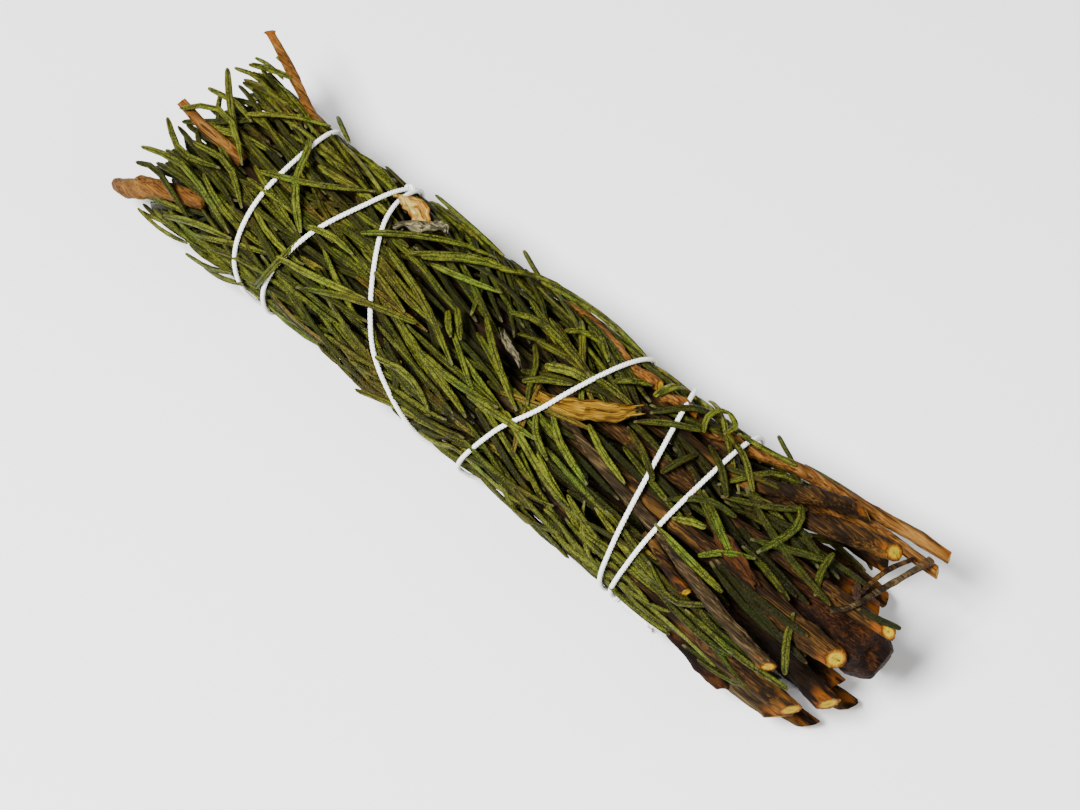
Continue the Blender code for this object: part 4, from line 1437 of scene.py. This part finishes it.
    def runs(self) -> list[WoodRun]:
        """All stems as lengths of wood to be drawn, the outer ones first."""
        made = []
        for i in range(FORM.sprigs):
            rng = random.Random(50 + i)
            knuckles = tuple(0.112 + 0.0085 * k + rng.uniform(-0.002, 0.002) for k in range(8))
            slant = rng.uniform(0.5, 1.1) * (0.3 if i == 0 else 1.0)
            name, bark = f"sprig_{i + 1:02d}_stem", dict(self.tones).get(i, Bark.BROWN)
            made.append(WoodRun(name + "_wood", self.outer_rows(i), bark, (name,), slant, knuckles,
                                seed=i + 1))
        made[1].slant, made[1].facing = 1.2, 1.1
        for k in range(len(self.inner)):
            name = inner_name(k, "stem")
            bark, rounded, sides = (Bark.STUMP, 0.95, 44) if k == self.stump else (Bark.BROWN, 0.0, 22)
            made.append(WoodRun(name + "_wood", self.inner_rows(k), bark, (name,), knuckles=(0.150, 0.162),
                                rounded=rounded, seed=30 + k, sides=sides, aged=k == 0))
        return made


@dataclass(frozen=True)
class LooseWood:
    """Short bare twigs at both ends and along the upper edge."""

    # name, stations as (x mm, angle, depth mm), radii (mm), bark, rounded end
    bits: tuple[tuple[str, Rows, tuple[float, ...], Bark, float], ...] = (
        ("tip_twig_thick", ((-71.0, 149, 3.6), (-83.0, 162, 1.6), (-90.5, 181, 0.6), (-96.7, 198, 0.5)),
         (1.7, 2.1, 2.2, 1.5), Bark.ORANGE, 0.6),
        ("tip_twig_long", ((-63.8, 34, 1.7), (-71.0, 29, -0.4), (-79.0, 25, -3.9), (-88.6, 25, -8.1),
                           (-89.6, 25, -8.5)),
         (1.2, 1.05, 1.15, 0.95, 1.2), Bark.ORANGE, 0.0),
        ("tip_twig_short", ((-68.5, 104, 2.6), (-76.0, 103, 1.1), (-81.0, 102, 0.9), (-87.9, 98, 0.5)),
         (1.4, 1.35, 1.2, 1.1), Bark.ORANGE, 0.0),
        ("tip_twig_back", ((-72.0, 300, 5.0), (-82.0, 304, 3.2), (-92.0, 306, 2.6)),
         (1.4, 1.5, 1.3), Bark.BROWN, 0.0),
        ("side_twig", ((86.7, 105, -0.4), (89.3, 96, -0.6), (91.3, 78, -0.4), (92.9, 61, -0.6),
                       (93.9, 41, -1.2)),
         (0.5, 0.6, 0.65, 0.65, 0.95), Bark.GREY, 0.0),
        ("cross_twig", ((88.2, 82, 3.0), (88.8, 70, 1.6), (89.6, 58, 1.0), (91.2, 42, 0.3)),
         (0.5, 0.5, 0.5, 0.5), Bark.BROWN, 0.0),
        ("prong_twig", ((68.0, 40, 4.5), (75.0, 35, 2.4), (80.7, 34, 1.0), (86.3, 37, 0.6), (91.7, 38, 0.5),
                        (96.0, 37.5, 0.5)), (1.0, 1.1, 1.15, 1.15, 1.15, 1.2), Bark.ORANGE, 0.0),
        ("edge_twig", ((2.0, 27, 1.6), (10.0, 34, 0.9), (18.0, 42, 1.3), (24.0, 48, 1.9), (28.0, 51, 0.9),
                       (31.3, 53, 0.4)), (1.0, 1.1, 1.15, 1.15, 1.2, 1.2), Bark.ORANGE, 0.0),
        ("edge_stub", ((33.0, 58, 1.2), (36.5, 53, 0.6), (40.3, 49, 1.4)), (1.0, 1.0, 0.9), Bark.ORANGE, 0.0),
        ("broken_stub", ((62.0, 186, 1.4), (68.0, 188, 0.8), (73.0, 190.5, 0.2), (77.0, 193, 0.0)),
         (1.3, 1.4, 1.5, 1.2), Bark.STUMP, 0.6),
        ("cut_stub", ((49.0, 134, 2.4), (54.5, 138, 0.9), (58.6, 141, 0.1), (62.6, 143, -0.3)),
         (0.9, 1.0, 1.05, 1.05), Bark.BROWN, 0.0))

    def runs(self, packed: set[str]) -> list[WoodRun]:
        """All loose bits as lengths of wood to be drawn.

        Args:
            packed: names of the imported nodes, which a bit of the same name stands for.

        Returns:
            The lengths of wood.
        """
        made = []
        for k, (name, stations, radii, bark, rounded) in enumerate(self.bits):
            points = FORM.spots(stations)
            rows = smooth_line(np.column_stack([points, np.array(radii) * MM]), 44)
            made.append(WoodRun(name + "_wood", rows, bark, (name,) if name in packed else (),
                                knuckles=(0.55 * run_length(points)[-1],), rounded=rounded, seed=70 + k,
                                sides=14))
        return made


@dataclass(frozen=True)
class Flake:
    """A torn, curled strip: ragged at its ends and split along its fibres."""

    name: str
    finish: FlakeFinish
    # x (mm), angle, height (mm), half width (mm)
    stations: Rows
    thick: float = 0.00055
    curl: float = 0.0008
    ragged: float = 0.0022
    crumple: float = 0.0003
    nodes: tuple[str, ...] = ()
    steps: int = 46
    across: int = 14

    def line(self) -> Array:
        """Middle line of the strip, as a few points."""
        return FORM.spots(self.stations, -1.0)

    def build(self) -> None:
        """Shape a grid into the curled strip and thicken it."""
        rows = smooth_line(np.column_stack([self.line(), np.array(self.stations)[:, 3] * MM]), self.steps + 1)
        middle, half = rows[:, :3], rows[:, 3]
        ahead = unit(np.gradient(middle, axis=0))
        side = np.cross(ahead, FORM.outward(middle))
        up = np.cross(side, ahead)
        seed = float(len(self.name))
        bm = bmesh.new()
        bmesh.ops.create_grid(bm, x_segments=self.steps, y_segments=self.across, size=1.0)
        strip = bm.verts.layers.float_color.new("strip")
        for vert in bm.verts:
            i, v = round((vert.co.x + 1.0) * 0.5 * self.steps), vert.co.y
            t = i / self.steps
            fibre = noise.noise(Vector((5.0 * t, 6.5 * v, seed)))
            fold = noise.noise(Vector((3.4 * t, 1.6 * v, seed + 4.0)))
            jag = noise.noise(Vector((seed, 7.5 * v, 3.0))) + 0.5 * noise.noise(Vector((seed, 19.0 * v, 5.0)))
            edge = 1.0 + 0.34 * noise.noise(Vector((9.0 * t, 2.0 if v > 0 else -2.0, seed)))
            lift = self.curl * v * v * (0.5 + 0.5 * math.sin(5.0 * t + seed))
            lift += self.crumple * (fibre + 2.2 * fold)
            reach = self.ragged * jag * abs(2.0 * t - 1.0) ** 4 * math.copysign(1.0, t - 0.5)
            vert.co = Vector(middle[i] + side[i] * (v * half[i] * edge) + up[i] * lift + ahead[i] * reach)
            vert[strip] = (t, 0.5 * v + 0.5, abs(v), 1.0)
        bmesh.ops.solidify(bm, geom=list(bm.faces), thickness=self.thick)
        bmesh.ops.recalc_face_normals(bm, faces=bm.faces)
        show(self.name, keep_mesh(bm, self.name), [self.finish.build()], "stem_bark", *self.nodes)


@dataclass(frozen=True)
class Flakes:
    """The torn bark, the wood chip, the dried felt under it and loose bark at the cuts."""

    bark: FlakeFinish = FlakeFinish("torn_bark_fibre", (0.016, 0.005, 0.0004), (0.150, 0.066, 0.0024),
                                    (0.360, 0.215, 0.0180), 0.90)
    wood: FlakeFinish = FlakeFinish("chip_wood", (0.120, 0.036, 0.001), (0.390, 0.160, 0.0045),
                                    (0.580, 0.430, 0.110), 0.52)
    felt: FlakeFinish = FlakeFinish("dried_felt", (0.016, 0.012, 0.004), (0.100, 0.084, 0.040),
                                    (0.300, 0.265, 0.160), 0.85)
    flap: FlakeFinish = FlakeFinish("loose_bark_fibre", (0.005, 0.0018, 0.0004), (0.038, 0.0115, 0.0022),
                                    (0.110, 0.040, 0.008), 0.95)

    def pieces(self) -> tuple[Flake, ...]:
        """All flakes, each laid where it lies on the bundle."""
        return (
            Flake("torn_bark_strip", self.bark,
                  ((14.4, 108, -1.9, 0.9), (17.8, 106.5, -1.5, 1.3), (21.4, 103, -0.4, 1.8),
                   (25.4, 98, 0.9, 2.0), (29.4, 91.5, 1.2, 2.1), (32.6, 82, 1.1, 1.2)),
                  ragged=0.0042, nodes=("torn_bark",)),
            Flake("wood_chip_split", self.wood,
                  ((-38.6, 53, -0.4, 1.7), (-35.6, 56, 0.9, 2.4), (-31.8, 60.5, 1.5, 2.5),
                   (-27.4, 66, 0.9, 1.7)),
                  thick=0.0010, curl=-0.0007, ragged=0.0012, nodes=("wood_chip",)),
            Flake("dried_felt_long", self.felt,
                  ((-31.6, 79, 0.1, 0.5), (-29.9, 74, 0.8, 0.9), (-27.8, 69, 1.0, 0.9), (-25.6, 64, 1.1, 0.5),
                   (-24.6, 61, 0.7, 0.3)), thick=0.0003, curl=0.0014, ragged=0.0012, crumple=0.0008),
            Flake("dried_felt_short", self.felt,
                  ((-28.0, 62, 0.5, 0.4), (-26.4, 60, 1.3, 0.6), (-24.8, 59, 1.4, 0.5),
                   (-23.8, 61, 0.9, 0.3)),
                  thick=0.0003, curl=0.0010, ragged=0.0008, crumple=0.0006),
            Flake("grey_bud", self.felt, ((1.0, 92, 0.2, 0.4), (3.6, 96, 0.9, 0.8), (6.4, 98, 0.9, 0.7),
                                          (8.4, 101, 0.3, 0.3)), thick=0.0004, curl=0.0012, crumple=0.0006),
            Flake("loose_bark", self.flap,
                  ((58.0, 104, -1.2, 0.9), (63.0, 110, 0.3, 1.6), (68.0, 114, 0.5, 1.5),
                   (72.5, 117, -0.3, 0.7)), ragged=0.0030, crumple=0.0005))


# ------------------------------------------------------------------ the string


@dataclass
class CottonString:
    """Three cotton strands twisted along the string's route, with its two knots."""

    strands: int = 3
    pitch: float = 0.0025
    strand_radius: float = 0.00029
    reach: float = 0.00024
    step: float = 0.00034
    # first knot from the start and last one from the end: steps, turns
    knots: tuple[tuple[int, float], ...] = ((6, 2.2), (-30, 1.8))
    steps_per_turn: int = 26
    loose_fibres: int = 9
    fray: float = 0.0028
    line: Array = field(init=False)
    side: Array = field(init=False)
    up: Array = field(init=False)

    def __post_init__(self) -> None:
        """Lay an even line along the route."""
        route = ROUTE.line(40)
        self.line = resample(route, np.arange(0.0, run_length(route)[-1], self.step))
        _, self.side, self.up = frames(self.line)

    def _twisted(self) -> list[Array]:
        """The strands, each winding round the string's middle line."""
        turns = [run_length(self.line) / self.pitch + k / self.strands for k in range(self.strands)]
        return [self.line + self.reach * around(self.side, self.up, math.tau * turn) for turn in turns]

    def _knotted(self) -> list[Array]:
        """A few close turns round the string at each of its knots."""
        reach, made = self.reach + 1.8 * self.strand_radius, []
        for at, turns in self.knots:
            t = np.arange(int(self.steps_per_turn * turns)) / self.steps_per_turn
            ahead = unit(self.line[at + 1] - self.line[at])
            along = ahead * ((t - 0.5 * turns) * 2.1 * self.strand_radius)[:, None]
            made.append(self.line[at] + reach * around(self.side[at], self.up[at], math.tau * t) + along)
        return made

    def _frayed(self) -> list[Array]:
        """Loose fibres that spread from the string's last end."""
        ahead = unit(self.line[-1] - self.line[-4])
        rng, made = random.Random(3), []
        t = np.linspace(0.0, 1.0, 7)[:, None]
        for _ in range(self.loose_fibres):
            across, rise = rng.uniform(-0.9, 0.9), rng.uniform(-0.3, 0.5)
            spread = ahead * t + self.side[-1] * (across * t ** 1.6) + self.up[-1] * (rise * t ** 1.4)
            made.append(self.line[-1] + self.fray * rng.uniform(0.5, 1.0) * spread)
        return made

    def build(self, cotton: Material) -> None:
        """Draw strands, knots and loose fibres as tubes, never below the table, and make them one mesh.

        Args:
            cotton: the string material.
        """
        name = "string_twisted"
        curve = bpy.data.curves.new(name, "CURVE")
        curve.dimensions = "3D"
        curve.bevel_depth, curve.bevel_resolution = self.strand_radius, 1
        curve.use_fill_caps = True
        for points in (*self._twisted(), *self._knotted(), *self._frayed()):
            points[:, 2] = np.maximum(points[:, 2], self.strand_radius + 0.00001)
            spline = curve.splines.new("POLY")
            spline.points.add(len(points) - 1)
            spline.points.foreach_set("co", np.column_stack([points, np.ones(len(points))]).ravel())
        holder = stand(name, curve)
        graph = bpy.context.evaluated_depsgraph_get()
        mesh = bpy.data.meshes.new_from_object(holder.evaluated_get(graph))
        bpy.data.objects.remove(holder)
        mesh.name = name
        mesh.shade_smooth()
        show(name, mesh, [cotton], "cotton_string", "string")


# ---------------------------------------------------------------- the studio


@dataclass(frozen=True)
class Studio:
    """Floor, soft lights and the camera."""

    azimuth: float = 41.25
    elevation: float = 62.0
    distance: float = 0.48
    lens: float = 78.4
    aim: tuple[float, float] = (0.0106, -0.00245)
    surroundings: float = 0.17
    # name, place, size (m), power (W)
    lights: tuple[tuple[str, Triple, float, float], ...] = (
        ("key", (-0.05, -0.40, 0.80), 0.24, 28.0), ("fill", (0.60, 0.20, 0.55), 0.6, 4.0))

    def build(self) -> None:
        """Set up the floor, the even white surroundings, the lights and the camera."""
        bm = bmesh.new()
        bmesh.ops.create_grid(bm, x_segments=1, y_segments=1, size=3.0)
        floor = stand("floor", keep_mesh(bm, "floor"))
        floor.data.materials.append(FloorFinish().build())
        world = bpy.data.worlds.new("studio")
        world.use_nodes = True
        shade = world.node_tree.nodes["Background"].inputs
        shade["Color"].default_value = (1.0, 1.0, 1.0, 1.0)
        shade["Strength"].default_value = self.surroundings
        bpy.context.scene.world = world
        for name, place, size, power in self.lights:
            light = bpy.data.lights.new(name, "AREA")
            light.size, light.energy = size, power
            self._face(stand(name, light), Vector(place), Vector(place))
        self._camera()

    def _face(self, item: bpy.types.Object, place: Vector, back: Vector) -> None:
        """Put a light or the camera at a place, with this direction behind it."""
        item.location = place
        item.rotation_euler = (-back).to_track_quat("-Z", "Y").to_euler()

    def _camera(self) -> None:
        """Place the camera above and to the side, looking at the bundle's middle."""
        a, e = math.radians(self.azimuth), math.radians(self.elevation)
        back = Vector((math.sin(a) * math.cos(e), -math.cos(a) * math.cos(e), math.sin(e)))
        camera = bpy.data.cameras.new("camera")
        camera.lens, camera.sensor_width, camera.clip_start = self.lens, 36.0, 0.01
        bpy.context.scene.camera = stand("camera", camera)
        self._face(bpy.context.scene.camera, Vector((*self.aim, FORM.axis_z)) + back * self.distance, back)


def main() -> None:
    """Build the dressed bundle, piece by piece."""
    logging.basicConfig(level=logging.INFO, format="%(message)s")
    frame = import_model()
    leaf, cotton = LeafFinish().build(), CottonFinish().build()
    cut, old_cut = CutFinish().build(), CutFinish(old=True).build()
    barks = {kind: BarkFinish(kind).build() for kind in Bark}
    stems, shape, pile = Stems(), LeafShape(), Pile()
    runs, loose = stems.runs(), LooseWood().runs(set(frame["nodes"]))
    for run in runs + loose:
        run.build(barks, old_cut if run.aged else cut)
    for run in runs[:FORM.sprigs]:
        pile.raise_rod(run.line, run.radii.mean())
    for run in loose:
        if "short" not in run.name:
            pile.keep_clear(run.line, run.radii.mean())
    for i, stations in stems.exposed:
        line = runs[i].line
        pile.keep_clear(line[line[:, 0] > stations[1][0] * MM], 0.0011)
    for flake in Flakes().pieces():
        pile.keep_clear(flake.line(), 0.0015)
        flake.build()
    heap = LeafHeap(shape, pile)
    heap.lay_all()
    PlacedLeaves().lay(heap)
    LOG.info("laid %d leaves", sum(map(len, heap.by_sprig.values())))
    for i in range(FORM.sprigs):
        shape.show_copies(f"sprig_{i + 1:02d}_leaves", heap.by_sprig[i], leaf)
    InnerLeaves(shape).build(leaf)
    CottonString().build(cotton)
    Studio().build()


if __name__ == "__main__":
    main()
